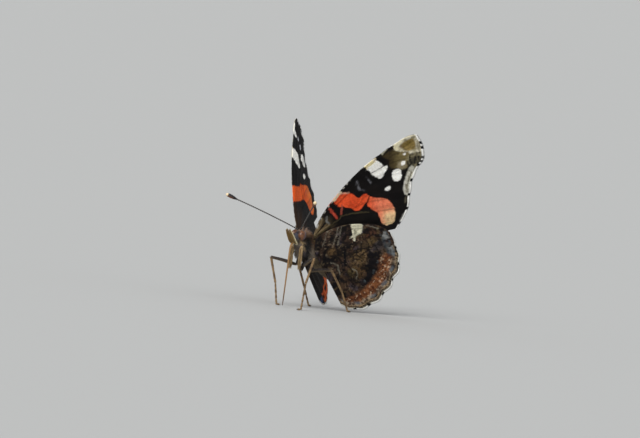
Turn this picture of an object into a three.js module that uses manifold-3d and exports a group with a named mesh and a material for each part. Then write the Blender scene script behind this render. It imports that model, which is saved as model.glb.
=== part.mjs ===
// A red admiral butterfly (Vanessa atalanta), life size, standing with half-opened wings.
// Millimetres, +Z up. The head faces -Y and its left side is +X.
// The body, head and wings hang in one group that is tilted head up. The legs stand on z = 0.
import * as THREE from "three";
import { mergeVertices } from "three/addons/utils/BufferGeometryUtils.js";
import Module from "manifold-3d";

// Stance
const bodyPitch = THREE.MathUtils.degToRad(20);
const wingBaseHeight = 14.85;
const wingBaseSpacing = 4.15;

// Wings: each lies in a plane through its base. One direction follows the hind margin outwards,
// the other points to the front edge. x is left, y is back, z is up in the tilted body.
const hindMarginDirection = new THREE.Vector3(0.4781, 0.6659, 0.5727);
const frontEdgeDirection = new THREE.Vector3(0.1334, -0.6995, 0.702);
const wingThickness = 0.5;
const forewingArch = 0.5;
const forewingDroop = 0.45;
const hindwingArch = 0.25;
const hindwingDroop = 0.2;
const hindwingDrop = 0.75;
const wingSpanSteps = 4;
const wingChordSteps = 42;

// Body
const jointGap = 0.08;
const antennaLength = 16.7;
const antennaWidth = 0.52;
const antennaSag = 0.5;
const clubLength = 2.6;
const clubWidth = 0.95;
const proboscisWidth = 0.5;
const eyeSize = new THREE.Vector3(1.5, 2.05, 2.25);
const eyePlace = new THREE.Vector3(1.0, -2.5, -0.3);
const palpBaseWidths = [0.7, 0.95];
const palpTipWidths = [0.9, 0.5];
const abdomenLengths = [2.6, 3.0, 3.0, 3.4];

// Legs: widths at the two ends of each piece
const forelegUpperWidths = [0.7, 0.85];
const forelegLowerWidths = [0.85, 0.6];
const forelegUpperLength = 1.9;
const forelegLowerLength = 3.0;
const coxaWidths = [1.15, 0.8];
const femurWidths = [0.8, 0.6];
const tibiaWidths = [0.58, 0.52];
const tarsusWidths = [0.52, 0.5];
const footLength = 1.5;
const footWidth = 0.62;
const footHeight = 0.5;

const wasm = await Module();
wasm.setup();

const black = 0x1d1917;
const brown = 0x55443a;
const greyBrown = 0x6b5e52;
const tan = 0xa58c68;
const eyeBrown = 0x5a3a26;

const butterfly = new THREE.Group();
const body = new THREE.Group();
body.rotation.x = -bodyPitch;
body.position.z = wingBaseHeight;
butterfly.add(body);

function finish(color, roughness = 0.7) {
  return new THREE.MeshStandardMaterial({ color, roughness, metalness: 0 });
}

function addPiece(parent, name, geometry, material) {
  const piece = new THREE.Mesh(geometry, material);
  piece.name = name;
  parent.add(piece);
  return piece;
}

// A closed geometry as a solid that can be cut or joined.
function solidOf(geometry) {
  const bare = geometry.clone();
  bare.deleteAttribute("normal");
  bare.deleteAttribute("uv");
  const merged = mergeVertices(bare, 1e-4);
  return new wasm.Manifold(
    new wasm.Mesh({
      numProp: 3,
      vertProperties: new Float32Array(merged.attributes.position.array),
      triVerts: new Uint32Array(merged.index.array),
    }),
  );
}

function geometryOf(solid) {
  const mesh = solid.getMesh();
  const geometry = new THREE.BufferGeometry();
  geometry.setAttribute("position", new THREE.BufferAttribute(new Float32Array(mesh.vertProperties), 3));
  geometry.setIndex(new THREE.BufferAttribute(new Uint32Array(mesh.triVerts), 1));
  geometry.computeVertexNormals();
  return geometry;
}

function cutBy(geometry, ...neighbours) {
  let solid = solidOf(geometry);
  for (const neighbour of neighbours) solid = solid.subtract(solidOf(neighbour));
  return geometryOf(solid);
}

// A rounded body along y, from stations of [y, half width, lowest z, highest z]. Its two ends close
// like a sphere's poles. The margin widens it all round, to leave a gap to what is cut by it.
function stationBody(stations, around, along, margin = 0) {
  const profile = new THREE.CatmullRomCurve3(
    stations.map(([y, halfWidth, low, high]) => new THREE.Vector3(y, halfWidth, (high - low) / 2)),
  );
  const middle = new THREE.CatmullRomCurve3(
    stations.map(([y, , low, high]) => new THREE.Vector3(y, (low + high) / 2, 0)),
  );
  const geometry = new THREE.SphereGeometry(1, around, along);
  const position = geometry.attributes.position;
  const poleAngle = 1e-6;
  for (let i = 0; i < position.count; i += 1) {
    const polar = Math.acos(THREE.MathUtils.clamp(position.getY(i), -1, 1));
    const place = THREE.MathUtils.clamp(1 - polar / Math.PI, 0, 1);
    const ring = Math.hypot(position.getX(i), position.getZ(i)) || 1;
    const side = position.getX(i) / ring;
    const rise = position.getZ(i) / ring;
    const { x: y, y: halfWidth, z: halfHeight } = profile.getPoint(place);
    const closed = polar < poleAngle || polar > Math.PI - poleAngle;
    const end = place < 0.5 ? -margin : margin;
    position.setXYZ(
      i,
      closed ? 0 : side * (halfWidth + margin),
      y + (closed ? end : 0),
      middle.getPoint(place).y + (closed ? 0 : rise * (halfHeight + margin)),
    );
  }
  geometry.computeVertexNormals();
  return geometry;
}

function ellipsoid(size, around, along) {
  return new THREE.SphereGeometry(0.5, around, along).scale(size.x, size.y, size.z);
}

// A round-ended bar between two joints. Each end stands back by the bend of its joint, so that
// neighbouring bars come within the gap of each other and don't overlap.
function bar(from, to, widths, bends = [Math.PI, Math.PI]) {
  const [startRadius, endRadius] = widths.map((width) => width / 2);
  const [startBack, endBack] = [startRadius, endRadius].map(
    (radius, i) => (radius + jointGap / 2) / Math.sin(bends[i] / 2),
  );
  const endPlace = from.distanceTo(to) - endBack;
  const capSteps = 2;
  const start = [];
  const end = [];
  for (let i = 0; i <= capSteps; i += 1) {
    const angle = (i / capSteps) * (Math.PI / 2);
    const [out, rise] = [i === 0 ? 0 : Math.sin(angle), Math.cos(angle)];
    start.push(new THREE.Vector2(out * startRadius, startBack - rise * startRadius));
    end.unshift(new THREE.Vector2(out * endRadius, endPlace + rise * endRadius));
  }
  const along = new THREE.Vector3().subVectors(to, from).normalize();
  const turn = new THREE.Quaternion().setFromUnitVectors(new THREE.Vector3(0, 1, 0), along);
  const sides = 8;
  return new THREE.LatheGeometry([...start, ...end], sides)
    .applyQuaternion(turn)
    .translate(from.x, from.y, from.z);
}

// The inner angle at the middle one of three joints.
function bendAt(before, joint, after) {
  const back = new THREE.Vector3().subVectors(before, joint);
  const onwards = new THREE.Vector3().subVectors(after, joint);
  return back.angleTo(onwards);
}

// A tube of one width along a smooth path.
function tube(points, width, steps) {
  const section = new THREE.Shape();
  const sides = 8;
  section.moveTo(width / 2, 0);
  for (let i = 1; i < sides; i += 1) {
    const angle = (i / sides) * 2 * Math.PI;
    section.lineTo((Math.cos(angle) * width) / 2, (Math.sin(angle) * width) / 2);
  }
  return new THREE.ExtrudeGeometry(section, {
    steps,
    bevelEnabled: false,
    extrudePath: new THREE.CatmullRomCurve3(points),
  });
}

// Thorax: the deep middle body that carries wings and legs, and its narrow front part, the collar.
const thoraxStations = [
  [-1.6, 0.6, -2.6, -0.2],
  [-1.1, 1.75, -4.0, 1.05],
  [-0.1, 2.3, -4.8, 1.65],
  [1.4, 2.4, -5.0, 1.6],
  [2.9, 2.05, -4.7, 0.95],
  [3.9, 1.5, -3.9, 0.1],
  [4.3, 0.7, -2.9, -0.7],
];
const thoraxGap = stationBody(thoraxStations, 20, 14, jointGap);
addPiece(body, "thorax", stationBody(thoraxStations, 20, 14), finish(brown, 0.9));

const collarStations = [
  [-2.2, 0.6, -2.3, -0.1],
  [-1.9, 1.35, -3.1, 0.6],
  [-1.4, 1.75, -3.6, 1.1],
  [-0.6, 1.85, -3.7, 1.2],
  [0, 0.7, -2.5, 0.1],
];
const collarGap = stationBody(collarStations, 16, 10, jointGap);
addPiece(body, "thorax_front", cutBy(stationBody(collarStations, 16, 10), thoraxGap), finish(brown, 0.9));

// Head, with an eye on each side, the two palps in front of the face and the drinking tube below.
const headStations = [
  [-3.7, 0.45, -1.45, -0.35],
  [-3.4, 1.05, -1.95, 0.2],
  [-2.8, 1.3, -2.15, 0.6],
  [-2.3, 1.15, -2.05, 0.6],
  [-1.8, 0.5, -1.5, 0.1],
];
const headGap = stationBody(headStations, 16, 10, jointGap);
addPiece(body, "head", cutBy(stationBody(headStations, 16, 10), collarGap), finish(greyBrown, 0.9));

for (const [side, sign] of [["left", 1], ["right", -1]]) {
  const eye = ellipsoid(eyeSize, 12, 9).translate(sign * eyePlace.x, eyePlace.y, eyePlace.z);
  addPiece(body, `eye_${side}`, cutBy(eye, headGap, collarGap), finish(eyeBrown, 0.35));

  const palpRoot = new THREE.Vector3(sign * 0.5, -2.5, -2.45);
  const palpBend = new THREE.Vector3(sign * 0.55, -3.7, -2.1);
  const palpTip = new THREE.Vector3(sign * 0.4, -6.2, -0.6);
  const palpStart = palpBend.clone().lerp(palpRoot, 0.6);
  const palpBase = solidOf(bar(palpRoot, palpBend, palpBaseWidths));
  const palp = palpBase.add(solidOf(bar(palpStart, palpTip, palpTipWidths)));
  addPiece(body, `palp_${side}`, cutBy(geometryOf(palp), headGap), finish(greyBrown, 0.9));
}

const proboscisPath = [
  new THREE.Vector3(0, -3.3, -2.45),
  new THREE.Vector3(0, -3.75, -3.1),
  new THREE.Vector3(0, -3.4, -4.7),
  new THREE.Vector3(0, -2.75, -6.6),
  new THREE.Vector3(0, -1.3, -11),
  new THREE.Vector3(0, 0.1, -15.35),
];
addPiece(body, "proboscis", tube(proboscisPath, proboscisWidth, 18), finish(tan, 0.5));

// Antennae: a thin shaft and a club with a pale tip. They don't spread alike.
const antennaDirections = {
  left: new THREE.Vector3(0.6812, -0.714, 0.162),
  right: new THREE.Vector3(-0.742, -0.66, 0.118),
};
const clubProfile = [
  [0, 0],
  [antennaWidth / 2, 0],
  [0.36, 0.5],
  [clubWidth / 2, 1.4],
  [clubWidth / 2, 2.0],
  [0.3, 2.45],
  [0, clubLength],
].map(([radius, height]) => new THREE.Vector2(radius, height));
for (const [side, direction] of Object.entries(antennaDirections)) {
  const along = direction.clone().normalize();
  const root = new THREE.Vector3(Math.sign(direction.x) * 0.5, -2.95, 0.85);
  const clubStart = root.clone().addScaledVector(along, antennaLength - clubLength);
  const shaftEnd = clubStart.clone().addScaledVector(along, -jointGap);
  const shaftPoints = [0, 1 / 3, 2 / 3, 1].map((part) => {
    const point = root.clone().lerp(shaftEnd, part);
    point.z += antennaSag * part * (1 - part);
    return point;
  });
  addPiece(body, `antenna_${side}_shaft`, tube(shaftPoints, antennaWidth, 10), finish(black, 0.6));

  const turn = new THREE.Quaternion().setFromUnitVectors(new THREE.Vector3(0, 1, 0), along);
  const club = new THREE.LatheGeometry(clubProfile, 10).applyQuaternion(turn);
  club.translate(clubStart.x, clubStart.y, clubStart.z);
  addPiece(body, `antenna_${side}_club`, club, finish(black, 0.6));
}

// Abdomen: one tapering body in four lengths, parted by thin cuts.
const abdomenStart = new THREE.Vector3(0, 3.2, -1.55);
const abdomenEnd = new THREE.Vector3(0, 14.9, -4.5);
const abdomenStations = [[0, 1.5], [2.2, 1.85], [5, 1.9], [8, 1.6], [10.5, 1.1], [12, 0.35]];
const abdomenRadius = new THREE.SplineCurve(
  abdomenStations.map(([distance, radius]) => new THREE.Vector2(distance, radius)),
);
const abdomenTurn = new THREE.Quaternion().setFromUnitVectors(
  new THREE.Vector3(0, 1, 0),
  new THREE.Vector3().subVectors(abdomenEnd, abdomenStart).normalize(),
);
const abdomenTotal = abdomenLengths.reduce((sum, length) => sum + length, 0);
const abdomenRingSteps = 3;
let abdomenPlace = 0;
abdomenLengths.forEach((length, index) => {
  const ringEnd = abdomenPlace + length - jointGap;
  const profile = [new THREE.Vector2(0, abdomenPlace)];
  for (let i = 0; i <= abdomenRingSteps; i += 1) {
    const distance = THREE.MathUtils.lerp(abdomenPlace, ringEnd, i / abdomenRingSteps);
    profile.push(new THREE.Vector2(abdomenRadius.getPoint(distance / abdomenTotal).y, distance));
  }
  profile.push(new THREE.Vector2(0, ringEnd));
  const ring = new THREE.LatheGeometry(profile, 16)
    .applyQuaternion(abdomenTurn)
    .translate(abdomenStart.x, abdomenStart.y, abdomenStart.z);
  const geometry = index === 0 ? cutBy(ring, thoraxGap) : ring;
  addPiece(body, `abdomen_${index + 1}`, geometry, finish(brown, 0.9));
  abdomenPlace += length;
});

// Wings: a plate spanned between its front edge, its outer margin and its hind margin, as a Coons
// patch. All points are (outwards along the hind margin, towards the front edge) from the base.
function edge(...points) {
  return new THREE.SplineCurve(points.map(([outwards, forwards]) => new THREE.Vector2(outwards, forwards)));
}
const forewing = {
  front: edge(
    [0.3, 1.1], [2.2, 4.7], [5.3, 8.2], [9.2, 11.6], [13.1, 14.2], [17.2, 16.3], [20, 17.6], [22, 18.4],
    [23.9, 18.6], [25.4, 18.2],
  ),
  outer: edge(
    [25.4, 18.2], [26.5, 15.3], [26.3, 12.5], [24.3, 10.1], [23.2, 7.2], [22.6, 4.2], [22.1, 2], [21, 0],
    [19.3, -2.2],
  ),
  hind: edge([0, -0.6], [4.5, -1.6], [10, -1.9], [15, -2.1], [19.3, -2.2]),
  scallops: 6,
  scallopDepth: 0.1,
  arch: forewingArch,
  droop: forewingDroop,
  drop: 0,
};
const hindwing = {
  front: edge([0.3, 0.3], [2.1, 1.2], [5.1, 1.8], [8.6, 1.7], [14.2, 0.1], [17.6, -2.8]),
  outer: edge(
    [17.6, -2.8], [18.9, -7.3], [19.1, -10.9], [17.5, -14], [15.1, -16.8], [11.8, -18.6], [8.2, -18.6],
    [5.2, -16.7],
  ),
  hind: edge([-0.2, -2.6], [1.3, -6.5], [3.2, -11.5], [5.2, -16.7]),
  scallops: 7,
  scallopDepth: 0.28,
  arch: hindwingArch,
  droop: hindwingDroop,
  drop: hindwingDrop,
};

function wingPlate(wing) {
  const geometry = new THREE.BoxGeometry(1, 1, wingThickness, wingSpanSteps, wingChordSteps, 1);
  const position = geometry.attributes.position;
  const rootFront = wing.front.getPoint(0);
  const rootHind = wing.hind.getPoint(0);
  const tipFront = wing.front.getPoint(1);
  const tipHind = wing.hind.getPoint(1);
  for (let i = 0; i < position.count; i += 1) {
    const span = position.getX(i) + 0.5;
    const chord = 0.5 - position.getY(i);
    const onFront = wing.front.getPointAt(span);
    const onHind = wing.hind.getPointAt(span);
    const onRoot = rootFront.clone().lerp(rootHind, chord);
    const onOuter = wing.outer.getPointAt(chord);
    const outwards = wing.outer.getTangentAt(chord);
    const scallop = -wing.scallopDepth * Math.cos(2 * Math.PI * wing.scallops * chord);
    onOuter.x += -outwards.y * scallop * Math.sin(Math.PI * chord);
    onOuter.y += outwards.x * scallop * Math.sin(Math.PI * chord);
    const place = onFront.multiplyScalar(1 - chord).addScaledVector(onHind, chord);
    place.addScaledVector(onRoot, 1 - span).addScaledVector(onOuter, span);
    place.addScaledVector(rootFront, -(1 - span) * (1 - chord));
    place.addScaledVector(rootHind, -(1 - span) * chord);
    place.addScaledVector(tipFront, -span * (1 - chord)).addScaledVector(tipHind, -span * chord);
    const arch = wing.arch * 4 * chord * (1 - chord) * Math.sin(Math.PI * span);
    const droop = wing.droop * span ** 2 * Math.sin(Math.PI * chord);
    position.setXYZ(i, place.x, place.y, position.getZ(i) + wing.drop - arch + droop);
  }
  return geometry;
}

function placeWing(geometry) {
  const outwards = hindMarginDirection.clone().normalize();
  const forwards = frontEdgeDirection.clone().projectOnPlane(outwards).normalize();
  const underside = new THREE.Vector3().crossVectors(outwards, forwards);
  const turn = new THREE.Matrix4().makeBasis(outwards, forwards, underside);
  turn.setPosition(wingBaseSpacing / 2, 0, 0);
  return geometry.applyMatrix4(turn);
}

for (const [side, sign] of [["left", 1], ["right", -1]]) {
  const half = new THREE.Group();
  half.scale.x = sign;
  body.add(half);
  addPiece(half, `forewing_${side}`, cutBy(placeWing(wingPlate(forewing)), thoraxGap), finish(black, 0.6));
  addPiece(half, `hindwing_${side}`, cutBy(placeWing(wingPlate(hindwing)), thoraxGap), finish(brown, 0.6));
}

// Front legs: two short hairy brushes that hang under the collar and carry no weight.
const hangingDown = new THREE.Vector3(0, Math.sin(bodyPitch), -Math.cos(bodyPitch));
for (const [side, sign] of [["left", 1], ["right", -1]]) {
  const root = new THREE.Vector3(sign * 1.15, -1.75, -2.3);
  const kneeOffset = new THREE.Vector3(sign * 0.1, -0.15, 0);
  const knee = root.clone().addScaledVector(hangingDown, forelegUpperLength).add(kneeOffset);
  const tip = knee.clone().addScaledVector(hangingDown, forelegLowerLength);
  const kneeBend = bendAt(root, knee, tip);
  const upper = bar(root, knee, forelegUpperWidths, [Math.PI, kneeBend]);
  addPiece(body, `foreleg_${side}_upper`, cutBy(upper, thoraxGap, collarGap, headGap), finish(tan, 0.9));
  const lower = bar(knee, tip, forelegLowerWidths, [kneeBend, Math.PI]);
  addPiece(body, `foreleg_${side}_lower`, cutBy(lower, thoraxGap, collarGap), finish(tan, 0.9));
}

// Middle and hind legs. Joints are (left, back, up) from the middle of the wing bases, level with
// the ground: hip, trochanter below the coxa, knee, ankle and heel of the foot.
const legJoints = {
  midleg_left: [
    [0.95, -0.1, -4.2], [0.95, -0.75, -5.75], [6.0, -3.7, -3.65], [5.5, -5.0, -9.05], [5.4, -5.5],
  ],
  midleg_right: [
    [-0.95, -0.1, -4.2], [-0.95, -0.75, -5.75], [-6.0, -3.35, -4.8], [-5.3, -1.8, -10.15], [-5.2, -0.9],
  ],
  hindleg_left: [
    [0.95, 1.9, -4.9], [0.95, 0.9, -6.85], [4.3, 4.5, -6.1], [4.8, 8.2, -10.55], [4.95, 10.4],
  ],
  hindleg_right: [
    [-0.95, 1.9, -4.9], [-0.95, 0.9, -6.85], [-4.5, 4.3, -6.0], [-5.2, 7.7, -10.5], [-5.4, 10.0],
  ],
};

const legs = new THREE.Group();
butterfly.add(legs);
body.updateMatrix();
const thoraxInPlace = thoraxGap.clone().applyMatrix4(body.matrix);

// A foot: the last joint of the leg, lying flat on the ground, round in front and behind.
function footGeometry() {
  const outline = new THREE.Shape();
  const radius = footWidth / 2;
  const straight = footLength / 2 - radius;
  outline.absarc(straight, 0, radius, -Math.PI / 2, Math.PI / 2);
  outline.absarc(-straight, 0, radius, Math.PI / 2, (3 * Math.PI) / 2);
  return new THREE.ExtrudeGeometry(outline, { depth: footHeight, bevelEnabled: false, curveSegments: 4 });
}

for (const [leg, places] of Object.entries(legJoints)) {
  const [hip, trochanter, knee, ankle] = places
    .slice(0, 4)
    .map(([x, y, z]) => new THREE.Vector3(x, y, z + wingBaseHeight));
  const [heelX, heelY] = places[4];
  const heel = new THREE.Vector3(heelX, heelY, footHeight + jointGap);
  const hipBend = bendAt(hip, trochanter, knee);
  const kneeBend = bendAt(trochanter, knee, ankle);
  const ankleBend = bendAt(knee, ankle, heel);

  const coxa = cutBy(bar(hip, trochanter, coxaWidths, [Math.PI, hipBend]), thoraxInPlace);
  addPiece(legs, `${leg}_coxa`, coxa, finish(brown, 0.9));
  const femur = cutBy(bar(trochanter, knee, femurWidths, [hipBend, kneeBend]), thoraxInPlace);
  addPiece(legs, `${leg}_femur`, femur, finish(brown, 0.8));
  addPiece(legs, `${leg}_tibia`, bar(knee, ankle, tibiaWidths, [kneeBend, ankleBend]), finish(tan, 0.7));
  addPiece(legs, `${leg}_tarsus`, bar(ankle, heel, tarsusWidths, [ankleBend, Math.PI]), finish(tan, 0.7));

  const foot = addPiece(legs, `${leg}_foot`, footGeometry(), finish(tan, 0.7));
  const lean = new THREE.Vector2(heel.x - ankle.x, heel.y - ankle.y).normalize();
  foot.rotation.z = Math.atan2(lean.y, lean.x);
  foot.position.set(heel.x + (lean.x * footLength) / 4, heel.y + (lean.y * footLength) / 4, 0);
}

// The origin is on the ground, under the middle of the whole animal.
butterfly.updateMatrixWorld(true);
const middle = new THREE.Box3().setFromObject(butterfly, true).getCenter(new THREE.Vector3());
const redAdmiral = new THREE.Group();
butterfly.position.set(-middle.x, -middle.y, 0);
redAdmiral.add(butterfly);

export default redAdmiral;
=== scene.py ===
import math
from itertools import product

import bmesh
import bpy
import numpy as np
from mathutils import Matrix, Vector


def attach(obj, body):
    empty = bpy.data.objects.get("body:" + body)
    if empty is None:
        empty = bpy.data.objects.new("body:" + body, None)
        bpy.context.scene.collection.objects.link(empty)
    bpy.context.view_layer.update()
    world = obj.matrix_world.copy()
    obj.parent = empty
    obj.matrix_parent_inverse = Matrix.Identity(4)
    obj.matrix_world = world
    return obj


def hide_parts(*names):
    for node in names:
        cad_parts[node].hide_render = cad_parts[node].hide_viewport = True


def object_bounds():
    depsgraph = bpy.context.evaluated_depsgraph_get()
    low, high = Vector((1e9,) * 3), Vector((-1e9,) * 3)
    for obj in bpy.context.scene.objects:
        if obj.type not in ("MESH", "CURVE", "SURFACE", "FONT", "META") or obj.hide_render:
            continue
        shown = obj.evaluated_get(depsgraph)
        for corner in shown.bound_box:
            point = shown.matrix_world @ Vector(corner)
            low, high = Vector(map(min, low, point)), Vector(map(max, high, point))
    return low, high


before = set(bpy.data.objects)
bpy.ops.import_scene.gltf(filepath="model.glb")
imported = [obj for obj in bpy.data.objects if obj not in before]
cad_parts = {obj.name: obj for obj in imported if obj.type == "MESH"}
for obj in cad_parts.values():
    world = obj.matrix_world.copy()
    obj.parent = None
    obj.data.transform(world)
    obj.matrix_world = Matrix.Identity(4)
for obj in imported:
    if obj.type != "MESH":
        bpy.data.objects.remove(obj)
cad_box = [list(corner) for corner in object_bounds()]

# Camera: far off with a long lens, about 39 degrees to the left of straight ahead of the head, a
# little above the floor and slightly rolled. The point between the wing bases lies left of the
# picture's middle and below it.
MM = 0.001
wing_base = np.array([0.0, -3.7267, 14.85])
camera_right = Vector((0.7703, 0.6277, 0.1131)).normalized()
camera_back = camera_right.cross(Vector((-0.1147, -0.0382, 0.9926))).normalized()
camera_up = camera_back.cross(camera_right)
camera_distance = 1496.0
picture_middle = Vector(wing_base) + camera_right * 3.038 + camera_up * 4.020

camera_data = bpy.data.cameras.new("camera")
camera_data.sensor_width = 36
camera_data.lens = 400
camera_data.clip_start = 0.05
camera_data.clip_end = 60
camera = bpy.data.objects.new("camera", camera_data)
camera.matrix_world = (
    Matrix.Translation((picture_middle + camera_back * camera_distance) * MM)
    @ Matrix((camera_right, camera_up, camera_back)).transposed().to_4x4()
)
bpy.context.scene.collection.objects.link(camera)
bpy.context.scene.camera = camera


# Floor and light: a pale matte floor that runs out of sight, a wide soft main light from the upper
# left behind the camera, and an even pale sky that fills the shadows.
def socket_of(sockets, name):
    return next(s for s in sockets if s.enabled and (name is None or s.name == name))


def give(tree, socket, value):
    """Links a socket to another, or sets it to a number, colour or thing."""
    if isinstance(value, bpy.types.NodeSocket):
        tree.links.new(value, socket)
    else:
        socket.default_value = value


def add_node(tree, kind, inputs=None, **settings):
    node = tree.nodes.new(kind)
    for name, value in settings.items():
        setattr(node, name, value)
    for name, value in (inputs or {}).items():
        give(tree, socket_of(node.inputs, name), value)
    return node


def output(node, name=None):
    return socket_of(node.outputs, name)


def reckon(tree, operation, *values, kind="ShaderNodeMath"):
    """The result of a math node on these values."""
    node = add_node(tree, kind, operation=operation)
    for socket, value in zip(node.inputs, values):
        give(tree, socket, value)
    return output(node)


def srgb(red, green, blue):
    """A colour as seen, from 0 to 255, made linear."""
    part = np.array([red, green, blue]) / 255
    return np.where(part <= 0.04045, part / 12.92, ((part + 0.055) / 1.055) ** 2.4)


floor_radius = 40.0
floor_data = bpy.data.meshes.new("floor")
floor_shape = bmesh.new()
bmesh.ops.create_circle(floor_shape, cap_ends=True, segments=64, radius=floor_radius)
floor_shape.to_mesh(floor_data)
floor_shape.free()
floor = bpy.data.objects.new("floor", floor_data)
floor_finish = bpy.data.materials.new("floor")
floor_finish.use_nodes = True
floor_surface = floor_finish.node_tree.nodes["Principled BSDF"]
floor_surface.inputs["Base Color"].default_value = (*srgb(180, 180, 178), 1)
floor_surface.inputs["Roughness"].default_value = 0.9
floor_data.materials.append(floor_finish)
bpy.context.scene.collection.objects.link(floor)

main_light = bpy.data.lights.new("main light", "SUN")
main_light.energy = 2.9
main_light.angle = math.radians(35)
main_light_object = bpy.data.objects.new("main light", main_light)
light_from = camera_back + camera_up * 0.9 - camera_right * 0.35
main_light_object.rotation_euler = light_from.to_track_quat("Z", "Y").to_euler()
bpy.context.scene.collection.objects.link(main_light_object)

sky = bpy.data.worlds.new("sky")
sky.use_nodes = True
sky.node_tree.nodes["Background"].inputs["Color"].default_value = (0.94, 0.97, 1.0, 1)
sky.node_tree.nodes["Background"].inputs["Strength"].default_value = 0.55
bpy.context.scene.world = sky
bpy.context.scene.view_settings.view_transform = "Standard"


# Body: head, collar, thorax and abdomen, one skin of dark cuticle that lies inside the solids by
# the depth of the hair. The thorax is a deep barrel, and the abdomen hangs behind it in rings.
body_pitch = math.radians(20)
skin_voxel = 0.13
fuse_margin = 0.1
abdomen_start = np.array([0, 3.2, -1.55])
abdomen_end = np.array([0, 14.9, -4.5])
abdomen_ring = 1.35
abdomen_groove = 0.07
head_depth, thorax_depth, abdomen_depth = 0.28, 0.62, 0.22


def from_body(points):
    """Places of the tilted body, from the point between the wing bases, in the frame."""
    x, y, z = np.asarray(points, float).T
    cos, sin = math.cos(body_pitch), math.sin(body_pitch)
    return np.stack([x, y * cos + z * sin, z * cos - y * sin], 1) + wing_base


def to_body(points):
    x, y, z = (np.asarray(points, float) - wing_base).T
    cos, sin = math.cos(body_pitch), math.sin(body_pitch)
    return np.stack([x, y * cos - z * sin, z * cos + y * sin], 1)


def turn_from_body(directions):
    return from_body(directions) - wing_base


def unit(vectors):
    return vectors / np.maximum(np.linalg.norm(vectors, axis=-1, keepdims=True), 1e-12)


def new_piece(name, points, faces):
    """An object whose points are given in millimetres."""
    data = bpy.data.meshes.new(name)
    data.from_pydata(np.asarray(points) * MM, [], faces)
    data.polygons.foreach_set("use_smooth", [True] * len(faces))
    piece = bpy.data.objects.new(name, data)
    bpy.context.scene.collection.objects.link(piece)
    return piece


def close_and_turn_out(data):
    shape = bmesh.new()
    shape.from_mesh(data)
    bmesh.ops.remove_doubles(shape, verts=shape.verts, dist=1e-3 * MM)
    bmesh.ops.recalc_face_normals(shape, faces=shape.faces)
    shape.to_mesh(data)
    shape.free()


def points_of(data):
    places = np.zeros(len(data.vertices) * 3, np.float32)
    data.vertices.foreach_get("co", places)
    return places.reshape(-1, 3).astype(float) / MM


def move_points(data, places):
    data.vertices.foreach_set("co", (np.asarray(places) * MM).astype(np.float32).ravel())


def normals_of(data):
    normals = np.zeros(len(data.vertices) * 3, np.float32)
    data.vertices.foreach_get("normal", normals)
    return normals.reshape(-1, 3).astype(float)


def store(data, name, values, kind="FLOAT_VECTOR", domain="POINT"):
    old = data.attributes.get(name)
    if old:
        data.attributes.remove(old)
    values = np.asarray(values, np.float32)
    if kind == "FLOAT_COLOR":
        values = np.concatenate([values, np.ones((len(values), 1), np.float32)], 1)
    key = {"FLOAT": "value", "FLOAT_COLOR": "color"}.get(kind, "vector")
    data.attributes.new(name, kind, domain).data.foreach_set(key, values.ravel())


def plain_mesh(piece):
    """The piece as its modifiers leave it, without them."""
    evaluated = piece.evaluated_get(bpy.context.evaluated_depsgraph_get())
    data = bpy.data.meshes.new_from_object(evaluated)
    piece.modifiers.clear()
    piece.data = data
    data.name = piece.name
    return data


def fused(name, nodes, voxel, margin):
    """Copies of solids, swollen until they meet, as one closed surface."""
    shape = bmesh.new()
    for node in nodes:
        copy = bmesh.new()
        copy.from_mesh(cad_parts[node].data)
        bmesh.ops.remove_doubles(copy, verts=copy.verts, dist=1e-3 * MM)
        copy.normal_update()
        for vertex in copy.verts:
            vertex.co += vertex.normal * margin * MM
        data = bpy.data.meshes.new("copy")
        copy.to_mesh(data)
        copy.free()
        shape.from_mesh(data)
        bpy.data.meshes.remove(data)
    data = bpy.data.meshes.new(name)
    shape.to_mesh(data)
    shape.free()
    piece = bpy.data.objects.new(name, data)
    bpy.context.scene.collection.objects.link(piece)
    remesh = piece.modifiers.new("fuse", "REMESH")
    remesh.mode = "VOXEL"
    remesh.voxel_size = voxel * MM
    smooth = piece.modifiers.new("ease", "SMOOTH")
    smooth.factor = 0.5
    smooth.iterations = 10
    plain_mesh(piece)
    return piece


def ease(low, high, values):
    """0 below low, 1 above high and smooth between them."""
    part = np.clip((np.asarray(values, float) - low) / (high - low), 0, 1)
    return part * part * (3 - 2 * part)


def cloud(places, size, seed):
    """Smooth random values from 0 to 1, with lumps about that size."""
    places = np.asarray(places, float)
    if places.shape[1] == 2:
        places = np.concatenate([places, np.full((len(places), 1), 0.37 * size)], 1)
    table = np.random.default_rng(seed).random((32, 32, 32))
    cell = np.floor(places / size).astype(int)
    part = places / size - cell
    part = part * part * (3 - 2 * part)
    total = np.zeros(len(places))
    for corner in product((0, 1), repeat=3):
        share = np.prod(np.where(np.array(corner) == 1, part, 1 - part), axis=1)
        total += share * table[tuple(((cell + corner) % 32).T)]
    return total


def blended(under, over, share):
    return under + (np.asarray(over) - under) * np.asarray(share)[:, None]


def mixed(low, high, share):
    """Between two colours, each as seen from 0 to 255."""
    return blended(srgb(*low), srgb(*high), share)


def layered(tint, layers):
    """Colours laid over each other in turn, each as far as its share covers."""
    for colour, share in layers:
        tint = blended(tint, srgb(*colour) if isinstance(colour, tuple) else colour, share)
    return tint


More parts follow.
